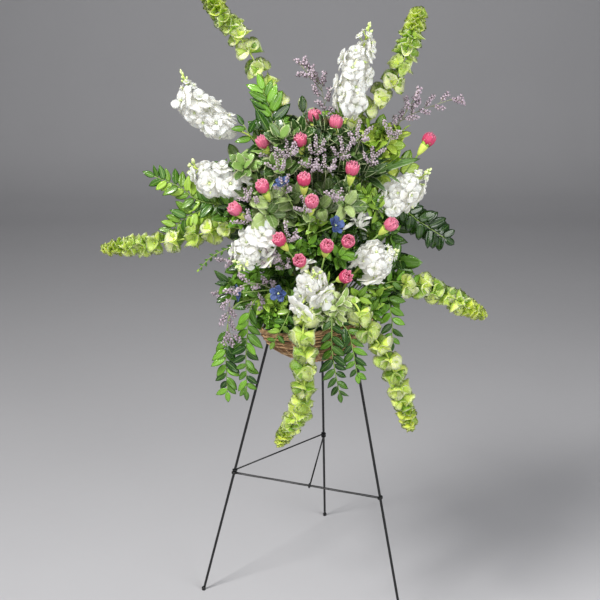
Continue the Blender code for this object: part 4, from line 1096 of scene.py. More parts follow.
@dataclass
class Easel:
    """Three wire legs in a crown, with eyes of wire and braces between them."""

    foot_radius: float = 0.273
    crown_offset: float = 0.009
    crown_height: float = 1.022
    wire: float = 0.0029
    azimuth: dict[str, float] = field(default_factory=lambda: {"left": -81.0, "right": 45.0, "back": 174.0})
    front_height: float = 0.313
    back_height: float = 0.290
    brace_wire: float = 0.0018
    eye_wire: float = 0.0014
    double_wire: float = 0.0012
    double_gap: float = 0.0015
    hook_share: float = 0.53

    def line(self, side: str) -> tuple[Vector, Vector]:
        """The foot and the top of a leg's middle line."""
        turn = math.radians(self.azimuth[side])
        out = Vector((math.sin(turn), -math.cos(turn), 0.0))
        return out * self.foot_radius, out * self.crown_offset + Vector((0.0, 0.0, self.crown_height))

    def on_leg(self, side: str, height: float) -> Vector:
        """The place on a leg's middle line at a height."""
        foot, top = self.line(side)
        return foot.lerp(top, height / self.crown_height)

    def eye(self, side: str, height: float, turns: float) -> tuple[list[Vector], list[float]]:
        """A wire wound round a leg at a height."""
        foot, top = self.line(side)
        axis = (top - foot).normalized()
        middle = self.on_leg(side, height)
        radius = self.wire + self.eye_wire + 0.0004
        count = round(turns * 20)
        points = []
        for step in range(count + 1):
            share = step / count
            points.append(middle + around(axis, math.tau * turns * share) * radius
                          + axis * (share - 0.5) * turns * self.eye_wire * 2.1)
        return points, [self.eye_wire] * len(points)

    def doubled(self, start: Vector, end: Vector) -> list[tuple[list[Vector], list[float]]]:
        """Two wires side by side between two places, each a little wavy."""
        count = 24
        lines = []
        for side in (-1.0, 1.0):
            points = [start.lerp(end, step / count)
                      + Vector((0.0, 0.0, side * self.double_gap * (1.0 + 0.12 * math.sin(step * 0.9 + side))))
                      for step in range(count + 1)]
            lines.append((points, [self.double_wire] * len(points)))
        return lines

    def build(self, shop: Workshop) -> None:
        """Make the legs, the crown and the braces."""
        enamel = EnamelFinish().make()
        for side in self.azimuth:
            foot, top = self.line(side)
            count = 60
            dice = random.Random(side)
            points = [foot.lerp(top, 0.003 + 0.997 * step / count) for step in range(count + 1)]
            radii = [self.wire * (1.0 + dice.uniform(-0.02, 0.02)) for _ in points]
            tip = [foot, foot + Vector((0, 0, 0.0055)), foot + Vector((0, 0, 0.0075))]
            shop.finish_piece(f"easel_leg_{side}", [shop.stems([(points, radii), (tip, [0.0047, 0.0047, 0.0036])], enamel, 5)],
                              [f"leg_{side}"])
        self.build_crown(shop, enamel)
        run = self.wire + self.eye_wire
        left, right = self.on_leg("left", self.front_height), self.on_leg("right", self.front_height)
        way = (right - left).normalized()
        front = self.doubled(left + way * run, right - way * run)
        front += [self.eye("left", self.front_height, 2.0), self.eye("right", self.front_height, 2.0)]
        shop.finish_piece("easel_brace_front", [shop.stems(front, enamel, 3)], ["brace_front"])
        side_height = self.front_height + 0.0070
        start, end = self.on_leg("left", side_height), self.on_leg("back", self.back_height)
        way = (end - start).normalized()
        side_lines = [([start + way * run, end - way * run], [self.brace_wire] * 2),
                      self.eye("left", side_height, 1.0), self.eye("back", self.back_height, 1.6)]
        shop.finish_piece("easel_brace_side", [shop.stems(side_lines, enamel, 3)], ["brace_side"])
        hold = left.lerp(right, self.hook_share)
        back = self.on_leg("back", self.back_height - 0.0070)
        way = (hold - back).normalized()
        across = (right - left).normalized()
        ring = [hold + (Matrix.Rotation(math.tau * step / 20 * 0.9 + 0.3, 3, across) @ -way) * 0.0043 for step in range(21)]
        hook = [([back + way * run, hold - way * 0.0043], [self.brace_wire] * 2), (ring, [self.brace_wire] * 21),
                self.eye("back", self.back_height - 0.0070, 1.6)]
        shop.finish_piece("easel_brace_hook", [shop.stems(hook, enamel, 3)], ["brace_hook"])

    def build_crown(self, shop: Workshop, enamel: bpy.types.Material) -> None:
        """The cap that the legs stand in: a drawn cup with a rolled lip and a domed top."""
        profile = ((0.0, 1.0268), (0.012, 1.0262), (0.0185, 1.0245), (0.0205, 1.0215), (0.0208, 1.0140),
                   (0.0200, 1.0080), (0.0200, 1.0030), (0.0209, 1.0005), (0.0203, 0.9985), (0.0186, 0.9990), (0.0, 0.9992))
        form = bmesh.new()
        verts = [form.verts.new((radius, 0.0, height)) for radius, height in profile]
        edges = [form.edges.new(pair) for pair in zip(verts, verts[1:])]
        bmesh.ops.spin(form, geom=[*verts, *edges], cent=(0, 0, 0), axis=(0, 0, 1), angle=math.tau, steps=40,
                       use_merge=True, use_duplicate=False)
        bmesh.ops.remove_doubles(form, verts=form.verts, dist=MERGE)
        bmesh.ops.recalc_face_normals(form, faces=form.faces)
        mesh = mesh_from(form, "crown")
        mesh.shade_smooth()
        mesh.materials.append(enamel)
        crown = bpy.data.objects.new("crown", mesh)
        bpy.context.scene.collection.objects.link(crown)
        shop.finish_piece("easel_crown", [crown], ["leg_crown"])


@dataclass
class Bowl:
    """A round-bottomed wicker bowl: upright stakes, woven strands and a plaited rim."""

    stakes: int = 32
    rows: int = 16
    strand: float = 0.0017
    stake: float = 0.0016
    weave: float = 0.0022
    profile: tuple[tuple[float, float], ...] = (
        (0.117, -0.002), (0.1165, -0.012), (0.1145, -0.024), (0.1095, -0.037), (0.1010, -0.049),
        (0.0900, -0.060), (0.0760, -0.071), (0.0600, -0.080), (0.0430, -0.087), (0.0200, -0.0895), (0.004, -0.0900),
    )

    def wall(self, share: float) -> tuple[float, float]:
        """Radius and height at a share of the way down the wall."""
        steps = [0.0]
        for (r0, z0), (r1, z1) in zip(self.profile, self.profile[1:]):
            steps.append(steps[-1] + math.hypot(r1 - r0, z1 - z0))
        target = share * steps[-1]
        return (float(np.interp(target, steps, [r for r, _ in self.profile])),
                float(np.interp(target, steps, [z for _, z in self.profile])))

    def spot(self, turn: float, radius: float, height: float) -> Vector:
        """A place on the oval bowl."""
        return BOWL_FRAME @ Vector((radius * math.cos(turn), BOWL_DEPTH_SCALE * radius * math.sin(turn), height))

    def build(self, shop: Workshop) -> None:
        """Make the bowl and its ties, and give its liner and the foam their finishes."""
        willow = WillowFinish().make()
        dice = random.Random(5)
        loops, tones = [], []
        count = self.stakes * 5
        for row in range(self.rows * 2):
            share = 0.030 + 0.90 * row / (self.rows * 2 - 1)
            radius, height = self.wall(share)
            slope = self.wall(min(1.0, share + 0.02))
            normal = Vector((height - slope[1], 0.0, radius - slope[0])).normalized()
            phase = math.pi * (row % 2)
            wobble = dice.uniform(0.0, math.tau)
            points = []
            for step in range(count):
                turn = math.tau * step / count
                wave = self.weave * math.cos(self.stakes / 2 * turn + phase) + 0.0006
                drift = 0.0005 * math.sin(5 * turn + wobble)
                points.append(self.spot(turn, radius + normal.x * wave, height + normal.z * wave + drift))
            loops.append((points, [self.strand * dice.uniform(0.85, 1.08)] * count))
            tones.append(dice.random())
        strands = shop.stems(loops, willow, 1, True, tones)
        bars = []
        for stake in range(self.stakes):
            turn = math.tau * (stake + 0.5) / self.stakes
            line = [self.spot(turn, *self.wall(0.02 + 0.96 * step / 14)) for step in range(15)]
            bars.append((line, [self.stake] * 15))
        uprights = shop.stems(bars, willow, 1, False, [dice.random() for _ in bars])
        plait, plait_tones = [], []
        for strand in range(3):
            points = []
            for step in range(180):
                turn = math.tau * step / 180
                twist = 26 * turn + math.tau * strand / 3
                points.append(self.spot(turn, 0.1185 + 0.0024 * math.cos(twist), -0.0040 + 0.0024 * math.sin(twist)))
            plait.append((points, [0.0022] * 180))
            plait_tones.append(0.35 + 0.25 * strand)
        rim = shop.stems(plait, willow, 1, True, plait_tones)
        shop.finish_piece("wicker_bowl", [strands, uprights, rim], ["basket"])
        frame["nodes"]["liner"].data.materials.clear()
        frame["nodes"]["liner"].data.materials.append(LINER_FINISH.make())
        frame["nodes"]["floral_foam"].data.materials.clear()
        frame["nodes"]["floral_foam"].data.materials.append(FOAM_FINISH.make())
        self.build_ties(shop)

    def build_ties(self, shop: Workshop) -> None:
        """Binding wires from the front legs through the bowl's wall, with twisted ends."""
        enamel = EnamelFinish("tie_enamel").make()
        easel = Easel()
        for side, angle, drop in (("left", 112.0, 0.006), ("right", 64.0, 0.004)):
            turn = math.radians(angle)
            edge = self.spot(turn, 0.1268, -drop)
            hold = easel.on_leg(side, edge.z)
            run = (edge - hold).normalized()
            foot, top = easel.line(side)
            axis = (top - foot).normalized()
            eye = [hold + around(axis, math.tau * step / 24 * 1.5) * 0.0041 + axis * (step / 24 - 0.5) * 0.003 for step in range(25)]
            loop = [self.spot(turn, 0.1268, -0.016), self.spot(turn, 0.1268, 0.0012), self.spot(turn, 0.1246, 0.0030),
                    self.spot(turn, 0.1100, 0.0030), self.spot(turn, 0.1078, 0.0012), self.spot(turn, 0.1078, -0.016),
                    self.spot(turn, 0.1268, -0.016)]
            lines = twisted(hold + run * 0.004, edge, 0.0008, 3.0)
            lines += [(eye, [0.0008] * 25), (loop, [0.0008] * len(loop))]
            shop.finish_piece(f"bowl_tie_{side}", [shop.stems(lines, enamel, 2)], [f"basket_tie_{side}"])


@dataclass
class BellSpike:
    """One spike of bells of Ireland."""

    name: str
    points: tuple[Point, ...]
    cupped: float
    whorl_gap: float
    seed: int
    stem: tuple[float, float] = (0.0023, 0.0012)
    cup: float = 0.0147
    cups_a_whorl: int = 5
    # shade scales the cups' tone, most at the young tip: below 1 it is painted shade on the upper spikes' tips, above 1
    # painted light on the right-hand spikes.
    shade: float = 1.0
    tip: float = 0.42

    def build(self, shop: Workshop, cup_finish: bpy.types.Material, tip_finish: bpy.types.Material,
              stem_finish: bpy.types.Material) -> None:
        """Make the spike: whorls of cups, small and close at the tip, large and apart lower down.

        Args:
            shop: the workshop.
            cup_finish: the cups' material.
            tip_finish: the youngest cups' material.
            stem_finish: the stem's material.
        """
        dice = random.Random(self.seed)
        route = Route([*foot_of(Vector(self.points[0])), *self.points])
        cups = Repeats("cup", cup_finish, 0.07)
        young = Repeats("cup", tip_finish, 0.10)
        seeds = Repeats("bud", tip_finish, 0.10)
        back = 0.001 + (self.tip - 0.42) * 0.022
        turn = dice.uniform(0, math.tau)
        while back < self.cupped:
            ripe = min(1.0, back / 0.110)
            size = self.cup * (self.tip + (1.0 - self.tip) * min(1.0, back / 0.070) ** 0.7)
            place, direction = route.at(route.length - back)
            group = young if back < 0.042 else cups
            count = 4 if back < 0.016 else self.cups_a_whorl
            for number in range(count):
                out = around(direction, turn + number * math.tau / count + dice.uniform(-0.16, 0.16))
                lean = (out + direction * (1.55 - 1.20 * ripe**0.6 + dice.uniform(-0.22, 0.22))).normalized()
                reach = size * dice.uniform(0.90, 1.12)
                root = place + out * self.stem[1] * 0.5 + direction * dice.uniform(-0.0045, 0.0045) * ripe
                # The cup's tone takes the spike's painted shade or painted light, fading out as the cups ripen down the
                # spike.
                group.add(root, facing(lean, around(lean, dice.uniform(0, math.tau))),
                          (reach, reach * dice.uniform(0.78, 1.0), reach * 1.30), dice.random() * (self.shade + (1.0 - self.shade) * ripe), dice.randrange(5))
                if back > 0.03:
                    seeds.add(root + lean * reach * 0.30, facing(lean, direction), (reach * 0.15, reach * 0.15, reach * 0.42),
                              dice.random(), 0)
            turn += 0.55
            back += 0.0062 + (self.whorl_gap - 0.0062) * ripe**1.35
        stalk = shop.stems([route.tapered(*self.stem)], stem_finish)
        shop.finish_piece(self.name + "_spike", [stalk, shop.set_out(cups, self.seed), shop.set_out(young, self.seed + 1),
                                                 shop.set_out(seeds, self.seed + 2)], [self.name])


@dataclass
class Stock:
    """One head of white stock on its stem."""

    name: str
    points: tuple[Point, ...]
    head: float
    floret: float
    buds: int
    seed: int
    stem: tuple[float, float] = (0.0026, 0.0018)
    core: float = 0.0165
    bud_zone: float = 0.022
    taper: float = 0.26
    lumps: float = 0.34
    lump_turns: float = 15.0

    def build(self, shop: Workshop, petal: bpy.types.Material, bud: bpy.types.Material, stem: bpy.types.Material) -> None:
        """Make the head: double florets all round, then opening buds and green buds at its tip.

        Args:
            shop: the workshop.
            petal: the florets' material.
            bud: the buds' material.
            stem: the stem's material.
        """
        dice = random.Random(self.seed)
        route = Route([*foot_of(Vector(self.points[0])), *self.points])
        start = route.length - self.head
        petals = Repeats("stock_petal", petal, 0.08)
        buds = Repeats("bud", bud, 0.15)
        stalks = [route.tapered(self.stem[0], self.stem[1])]
        count = max(13, round(self.head / 0.0074))
        for index in range(count):
            share = (index + 0.5) / count
            place, direction = route.at(start + (self.head - self.bud_zone) * share)
            place = place + around(direction, share * 9.0 + self.seed) * 0.004
            out = around(direction, index * GOLDEN_ANGLE + dice.uniform(-0.30, 0.30))
            lean = (out + direction * (-0.10 + 0.9 * share**3 + dice.uniform(-0.30, 0.30))
                    + around(direction, dice.uniform(0, math.tau)) * 0.25).normalized()
            swell = 1.0 + self.lumps * math.sin(share * self.lump_turns + index * GOLDEN_ANGLE + self.seed)
            reach = self.floret * (1.0 - self.taper * share * share) * dice.uniform(0.82, 1.14) * (0.5 + 0.5 * swell)
            root = place + out * self.core * swell * (1.0 - 1.35 * self.taper * share**3) * dice.uniform(0.45, 1.25)
            self.open_floret(root, lean, reach, petals, dice)
            stalks.append(([place, root + lean * reach * 0.1], [0.0010, 0.0013]))
            if dice.random() < 0.5:
                buds.add(root + lean * reach * 0.10, facing(lean, direction), (0.0022, 0.0022, reach * 0.42), dice.random(), 0)
            if dice.random() < 0.35:
                side = (lean * 0.8 + around(lean, dice.uniform(0, math.tau))).normalized()
                buds.add(root, facing(side, direction), (0.0030, 0.0030, reach * 0.85), dice.random(), 0)
        for number in range(self.buds * 2 + 3):
            share = number / (self.buds * 2 + 2)
            root, direction = route.at(route.length - self.bud_zone * 0.98 * share)
            out = around(direction, number * GOLDEN_ANGLE)
            lean = (direction * (1.0 - 0.45 * share) + out * (0.10 + 0.80 * share)).normalized()
            neck = root + lean * (0.003 + 0.010 * share)
            stalks.append(([root, neck], [0.0008, 0.0007]))
            wide = 0.0021 + 0.0013 * share
            buds.add(neck - lean * 0.001, facing(lean, out), (wide, wide, 0.0070 + 0.0035 * share), dice.random(), 0)
            if share > 0.55 and self.bud_zone > 0.02:
                self.open_floret(neck + lean * 0.004, lean, self.floret * 0.42 * share, petals, dice)
        stems = shop.stems(stalks, stem, 1)
        shop.finish_piece(self.name + "_head", [stems, shop.set_out(petals, self.seed), shop.set_out(buds, self.seed + 1)],
                          [self.name])

    def open_floret(self, root: Vector, lean: Vector, reach: float, petals: Repeats, dice: random.Random) -> None:
        """Set the petals of one floret: an open whorl, and a smaller one that stands up round its heart."""
        start = dice.uniform(0, math.tau)
        tone = dice.random()
        for count, size, rise, step in ((5, 1.0, 0.14, 0.14), (4, 0.66, 0.72, 0.20)):
            start += 0.6
            for number in range(count):
                out = around(lean, start + number * math.tau / count + dice.uniform(-0.15, 0.15))
                tilt = rise + dice.uniform(-0.24, 0.24)
                along = out * math.cos(tilt) + lean * math.sin(tilt)
                up = lean * math.cos(tilt) - out * math.sin(tilt) + around(along, 0.0) * dice.uniform(-0.2, 0.2)
                long = reach * size * dice.uniform(0.90, 1.08)
                petals.add(root + lean * reach * step, turned_to(along, up), (long, long, long),
                           min(1.0, tone * 0.6 + dice.random() * 0.4), dice.randrange(4))


@dataclass
class CarnationSpray:
    """A branched stem of spray carnations, each in its calyx."""

    name: str
    trunk: Point
    blooms: tuple[Point, ...]
    seed: int
    stem: tuple[float, float] = (0.0022, 0.0015)
    calyx: float = 0.021
    radius: float = 0.0130
    height: float = 0.0270
    fork_share: float = 0.3
    cup: tuple[tuple[float, float], ...] = ((-0.001, 0.0016), (0.0015, 0.0030), (0.005, 0.0046), (0.010, 0.0062),
                                            (0.016, 0.0074), (0.0205, 0.0080), (0.0245, 0.0066))

    def bloom_mesh(self, seed: int, openness: float) -> bpy.types.Mesh:
        """A half-open bloom at unit size: skirts of petals, fluted and fringed towards their edges.

        Args:
            seed: its own seed.
            openness: how far its skirts flare, from 0 to 1.

        Returns:
            The mesh, standing on the origin.
        """
        dice = random.Random(seed)
        form = bmesh.new()
        for skirt in range(4):
            size = 1.0 - 0.22 * skirt
            top = 0.78 + 0.06 * skirt + dice.uniform(-0.03, 0.03)
            flutes = (7, 6, 5, 3)[skirt]
            phase, second = dice.uniform(0, math.tau), dice.uniform(0, math.tau)
            flare = (0.02 + 0.14 * openness) * size
            belly = 0.98 * size
            outside = ((0.0, 0.02), (0.46 * size, 0.03), (0.84 * size, 0.20), (belly, 0.46), (belly * 0.92, top * 0.84),
                       (belly * 0.74 + flare, top))
            inside = ((belly * 0.70, top * 0.84), (0.66 * size, 0.40), (0.0, 0.26))
            steps = 42

            def ripple(share: float, turn: float) -> tuple[float, float]:
                strength = 1.5 * max(0.0, share - 0.45) ** 1.25
                wide = 1.0 + strength * (0.16 * math.sin(flutes * turn + phase) + 0.09 * math.sin((2 * flutes + 1) * turn + second))
                fringe = 0.035 if round(turn / math.tau * steps) % 2 else -0.015
                lift = strength * (0.10 * math.cos(flutes * turn + second) + (fringe if share > 0.9 else 0.0))
                return wide, lift

            shell_into(form, outside, inside, steps, ripple)
        return mesh_from(form, "bloom")

    def build(self, shop: Workshop, petal: bpy.types.Material, calyx: bpy.types.Material, sepals: bpy.types.Material,
              stalk: bpy.types.Material) -> None:
        """Make the stem with its calyxes and blooms.

        Args:
            shop: the workshop.
            petal: the blooms' material.
            calyx: the calyxes' material.
            sepals: the calyx tips' and narrow leaves' material.
            stalk: the stems' material.
        """
        dice = random.Random(self.seed)
        aim = Vector(self.trunk)
        foot = foot_of(aim)
        route = Route([*foot, aim], 0.02)
        straight = (foot[1] - foot[0]).length
        fork = route.at(straight + self.fork_share * (route.length - straight))[0]
        lines = [route.tapered(*self.stem)]
        cups = []
        tips = Repeats("ruscus", sepals, 0.08)
        for number, bloom in enumerate(self.blooms, start=1):
            middle = Vector(bloom)
            face = (middle - fork).normalized()
            seat = middle - face * (self.height / 2)
            neck = seat - face * self.calyx
            lines.append(([fork, neck], [self.stem[1]] * 2))
            cups.append(([neck + face * along for along, _ in self.cup], [wide for _, wide in self.cup]))
            for tooth in range(5):
                out = around(face, tooth * math.tau / 5 + number)
                along = (face + out * 0.28).normalized()
                tips.add(neck + face * 0.0165 + out * 0.0062, turned_to(along, -out), (0.0150, 0.022, 0.02), dice.random(), 0)
            joint = fork.lerp(neck, dice.uniform(0.35, 0.55))
            for side in (0.0, math.pi):
                out = around(face, side + number)
                tips.add(joint, turned_to((face + out * 0.9).normalized(), -out), (0.034, 0.034 * 0.40, 0.05), dice.random(), 1)
            mesh = self.bloom_mesh(self.seed * 10 + number, dice.uniform(0.1, 1.0))
            mesh.transform(facing(face, Vector((0, 0, 1))).to_matrix().to_4x4()
                           @ Matrix.Diagonal((self.radius * 0.98, self.radius * 0.98, self.height, 1.0)))
            mesh.transform(Matrix.Translation(seat + face * 0.0003))
            mesh.materials.append(petal)
            tone = mesh.attributes.new("tone", "FLOAT", "POINT")
            tone.data.foreach_set("value", [dice.uniform(0.0, 0.8)] * len(mesh.vertices))
            head = bpy.data.objects.new("bloom", mesh)
            bpy.context.scene.collection.objects.link(head)
            node = f"{self.name.replace('spray', 'bloom')}_{number}"
            shop.finish_piece(node + "_petals", [head], [node])
        shop.finish_piece(self.name + "_stem", [shop.stems(lines, stalk, 3), shop.stems(cups, calyx, 3),
                                                shop.set_out(tips, self.seed)], [self.name])


@dataclass(frozen=True)
class LeafHabit:
    """How one kind of leaf looks and sits."""

    shape: str
    length: float
    width: float
    count: int
    open: float


HABITS: dict[Leafage, LeafHabit] = {
    Leafage.RUSCUS: LeafHabit("ruscus", 0.034, 1.08, 7, 0.9),
    Leafage.MID: LeafHabit("ruscus", 0.036, 1.18, 7, 0.95),
    Leafage.SMALL: LeafHabit("broad", 0.026, 1.0, 8, 0.95),
    Leafage.BRIGHT: LeafHabit("ruscus", 0.034, 1.15, 8, 0.95),
    Leafage.LIGHT: LeafHabit("broad", 0.032, 1.0, 7, 1.0),
    Leafage.VARIEGATED: LeafHabit("broad", 0.043, 1.12, 8, 0.66),
    Leafage.YELLOW: LeafHabit("round", 0.036, 1.0, 7, 0.95),
    Leafage.PALE: LeafHabit("round", 0.046, 1.0, 5, 1.0),
    Leafage.STRAP: LeafHabit("strap", 0.080, 1.2, 5, 0.45),
    Leafage.DARK: LeafHabit("round", 0.052, 0.9, 4, 0.9),
    Leafage.WHITE: LeafHabit("strap", 0.060, 1.5, 6, 0.60),
}


@dataclass(frozen=True)
class Branch:
    """A leafy branch: its points, where its leaves begin and how far apart they are."""

    points: tuple[Point, ...]
    start: float
    spacing: float = 0.0095
    leaf: float = 0.034
    lean: tuple[float, float] = (0.45, 0.85)
    rooted: bool = False
    # shade scales the tone of a branch's leaves: partly their own darker colour, and partly painted shade (below 1) and
    # painted light (above 1) for how strongly the branch is lit.
    shade: float = 1.0


@dataclass(frozen=True)
class Patch:
    """A patch of sprigs at the front of the spray, spread over an oval."""

    kind: Leafage
    centre: Point
    reach: tuple[float, float]
    count: int
    size: float = 1.0


@dataclass(frozen=True)
class Cover:
    """Short sprigs that cover the foam between two angles round the bowl, 270 degrees being its front."""

    kind: Leafage
    start: float
    end: float
    count: int
    size: float = 1.0


@dataclass
class Foliage:
    """One node's branches, and the sprigs that fill the spray round them."""

    name: str
    kind: Leafage
    branches: tuple[Branch, ...]
    patches: tuple[Patch, ...]
    seed: int
    slot: str
    cover: Cover | None = None
    stem: tuple[float, float] = (0.0016, 0.0009)

    def build(self, shop: Workshop, stem_finish: bpy.types.Material) -> None:
        """Make the branches and the sprigs.

        Args:
            shop: the workshop.
            stem_finish: the stems' material.
        """
        dice = random.Random(self.seed)
        groups: dict[Leafage, Repeats] = {}
        lines = []
        for number, branch in enumerate(self.branches):
            foot = foot_of(Vector(branch.points[0])) if number == 0 or branch.rooted else []
            route = Route([*foot, *branch.points])
            lines.append(route.tapered(*self.stem))
            self.leaf_out(route, branch, self.group(groups, self.kind, shop), dice)
        for patch in self.patches:
            self.fill(patch, self.group(groups, patch.kind, shop), lines, dice)
        if self.cover:
            self.cover_foam(self.cover, self.group(groups, self.cover.kind, shop), lines, dice)
        made = [shop.stems(lines, stem_finish, 1)]
        made += [shop.set_out(group, self.seed + index) for index, group in enumerate(groups.values())]
        shop.finish_piece(self.name + "_leaves", made, [self.name])

    def group(self, groups: dict[Leafage, Repeats], kind: Leafage, shop: Workshop) -> Repeats:
        """The repeats of one kind of leaf, started where there are none yet."""
        if kind not in groups:
            groups[kind] = Repeats(HABITS[kind].shape, shop.leaf[kind], 0.10)
        return groups[kind]

    def leaf_out(self, route: Route, branch: Branch, leaves: Repeats, dice: random.Random) -> None:
        """Set leaves on both sides of a branch, and one at its tip."""
        habit = HABITS[self.kind]
        distance = branch.start
        side = 1.0
        while distance < route.length - 0.003:
            share = (distance - branch.start) / (route.length - branch.start)
            place, direction = route.at(distance)
            across = direction.cross(FRONT).normalized() * side
            scale = 0.80 + 0.32 * math.sin(math.pi * min(1.0, share * 0.85 + 0.15))
            lift = dice.uniform(-0.35, 0.35)
            along = (across + direction * dice.uniform(*branch.lean) + FRONT * lift).normalized()
            up = (FRONT - across * lift * 0.8 + direction * dice.uniform(-0.35, 0.35) + across * dice.uniform(-0.4, 0.4)).normalized()
            reach = branch.leaf * scale * dice.uniform(0.9, 1.08)
            # The leaf's tone carries the painted shade of the spray's middle and the branch's own painted light and
            # shade.
            tone = leaf_tone_and_inner_shade(place, dice) * branch.shade
            leaves.add(place, turned_to(along, up), (reach, reach * habit.width, reach), tone, dice.randrange(3))
            side = -side
            distance += branch.spacing * dice.uniform(0.85, 1.15)
        place, direction = route.at(route.length - 0.002)
        leaves.add(place, turned_to(direction, FRONT), (branch.leaf * 0.8, branch.leaf * 0.8 * habit.width, branch.leaf),
                   leaf_tone_and_inner_shade(place, dice), 0)

    def cover_foam(self, cover: Cover, leaves: Repeats, lines: list, dice: random.Random) -> None:
        """Set short sprigs in rows up the foam's flank, each leaning out over the rim or up."""
        for number in range(cover.count):
            turn = math.radians(cover.start + (cover.end - cover.start) * ((number * 0.618) % 1.0))
            rise = (number * 0.382) % 1.0
            side = BOWL_FRAME.to_3x3() @ Vector((math.cos(turn), BOWL_DEPTH_SCALE * math.sin(turn), 0.0))
            out = (side * (1.15 - 0.8 * rise) + Vector((0, 0, 0.35 + 0.9 * rise))).normalized()
            foot = foot_of(FOAM_HEART + out * 0.2)
            place = foot[0] + out * (0.046 + 0.020 * dice.random())
            lines.append(Route([foot[0], place], 0.03).tapered(0.0012, 0.0008))
            self.rosette(place, out, lambda share, end=place, way=out: end - way * 0.012 * (1.0 - share), cover.kind,
                         cover.size, leaves, dice)

    def rosette(self, place: Vector, face: Vector, root_at: Callable[[float], Vector], kind: Leafage, size: float,
                leaves: Repeats, dice: random.Random) -> None:
        """Leaves that open round the end of a sprig.

        Args:
            place: the sprig's end.
            face: the way that it faces.
            root_at: where a leaf springs, at its share of the way to the end.
            kind: the kind of leaf.
            size: the leaves' size against that kind's own.
            leaves: where the leaves are kept.
            dice: the source of chance.
        """
        habit = HABITS[kind]
        for leaf in range(habit.count):
            share = leaf / habit.count
            side = around(face, leaf * GOLDEN_ANGLE + dice.uniform(-0.3, 0.3))
            opening = habit.open * (1.25 - 0.9 * share) * dice.uniform(0.8, 1.2)
            along = (face + side * opening * 1.6).normalized()
            up = (face - side * 0.35 + around(side, dice.uniform(0, math.tau)) * 0.35).normalized()
            reach = habit.length * size * (1.0 - 0.35 * share) * dice.uniform(0.85, 1.15)
            leaves.add(root_at(share), turned_to(along, up), (reach, reach * habit.width, reach), leaf_tone_and_inner_shade(place, dice), dice.randrange(3))

    def fill(self, patch: Patch, leaves: Repeats, lines: list, dice: random.Random) -> None:
        """Grow the sprigs of a patch, each on its own thin stem from the foam."""
        centre = Vector(patch.centre)
        for number in range(patch.count):
            radius = math.sqrt((number + 0.5) / patch.count)
            turn = number * GOLDEN_ANGLE + self.seed
            place = centre + Vector((patch.reach[0] * radius * math.cos(turn), dice.uniform(-0.012, 0.030) + 0.03 * radius,
                                     patch.reach[1] * radius * math.sin(turn)))
            out = (place - FOAM_HEART).normalized()
            stray = Vector((dice.uniform(-0.8, 0.8), dice.uniform(-0.3, 0.1), dice.uniform(-0.6, 0.6)))
            facing_out = (out * 0.7 + FRONT * dice.uniform(0.2, 1.1) + stray).normalized()
            foot = foot_of(place)
            middle = foot[1].lerp(place, 0.66) + Vector((0.0, 0.042, 0.012))
            route = Route([foot[0], middle, place], 0.03)
            lines.append(route.tapered(0.0012, 0.0008))
            self.rosette(place, facing_out, lambda share, way=route: way.at(way.length - 0.012 * (1.0 - share))[0], patch.kind,
                         patch.size, leaves, dice)


@dataclass(frozen=True)
class Twig:
    """A twig of limonium: its points and where its side spikes begin."""

    points: tuple[Point, ...]
    start: float
    rooted: bool = False


@dataclass
class Limonium:
    """Twigs of limonium: short side spikes crowded with papery florets."""

    name: str
    twigs: tuple[Twig, ...]
    patches: tuple[Point, ...]
    seed: int
    stem: tuple[float, float] = (0.0012, 0.0007)
    floret: float = 0.0021

    def build(self, shop: Workshop, petal: bpy.types.Material, stem_finish: bpy.types.Material) -> None:
        """Make the twigs and the patches.

        Args:
            shop: the workshop.
            petal: the florets' material.
            stem_finish: the stems' material.
        """
        dice = random.Random(self.seed)
        specks = Repeats("speck", petal, 0.15)
        lines = []
        for twig in self.twigs:
            route = Route([*(foot_of(Vector(twig.points[0])) if twig.rooted else []), *twig.points])
            lines.append(route.tapered(*self.stem))
            distance = twig.start
            side = 1.0
            while distance < route.length - 0.012:
                place, direction = route.at(distance)
                out = around(direction, dice.uniform(-0.6, 0.6) + (0.0 if side > 0 else math.pi))
                self.spikelet(place, (direction + out * 0.62).normalized(), dice.uniform(0.022, 0.034), specks, lines, dice, 1.35)
                side = -side
                distance += dice.uniform(0.013, 0.019)
            tip, direction = route.at(route.length - 0.022)
            self.spikelet(tip, direction, 0.026, specks, lines, dice, 1.35)
        for patch in self.patches:
            place = Vector(patch)
            foot = foot_of(place)
            out = (place - FOAM_HEART).normalized()
            route = Route([foot[0], foot[1].lerp(place, 0.66) + Vector((0.0, 0.042, 0.01)), place], 0.03)
            lines.append(route.tapered(0.0012, 0.0008))
            for number in range(4):
                turn = around(out, number * GOLDEN_ANGLE)
                way = (out * 0.7 + turn * 0.75 + FRONT * 0.45).normalized()
                self.spikelet(route.at(route.length - 0.018 * dice.random())[0], way, dice.uniform(0.022, 0.040), specks, lines, dice)
        shop.finish_piece(self.name + "_twigs", [shop.stems(lines, stem_finish, 0), shop.set_out(specks, self.seed)],
                          [self.name])

    def spikelet(self, root: Vector, way: Vector, length: float, specks: Repeats, lines: list, dice: random.Random,
                 scale: float = 1.0) -> None:
        """One short side spike with florets close along its outer two thirds."""
        bend = around(way, dice.uniform(0, math.tau)) * length * 0.12
        route = Route([root, root + way * length * 0.5 + bend, root + way * length], 0.008)
        lines.append(route.tapered(0.0006, 0.0004))
        distance = length * 0.22
        number = 0
        while distance < route.length:
            place, direction = route.at(distance)
            out = around(direction, number * GOLDEN_ANGLE)
            lean = (direction * 0.8 + out).normalized()
            size = self.floret * scale * dice.uniform(0.75, 1.15)
            specks.add(place, facing(lean, direction), (size, size, size * 2.1), dice.random(), 0)
            number += 1
            distance += 0.0016


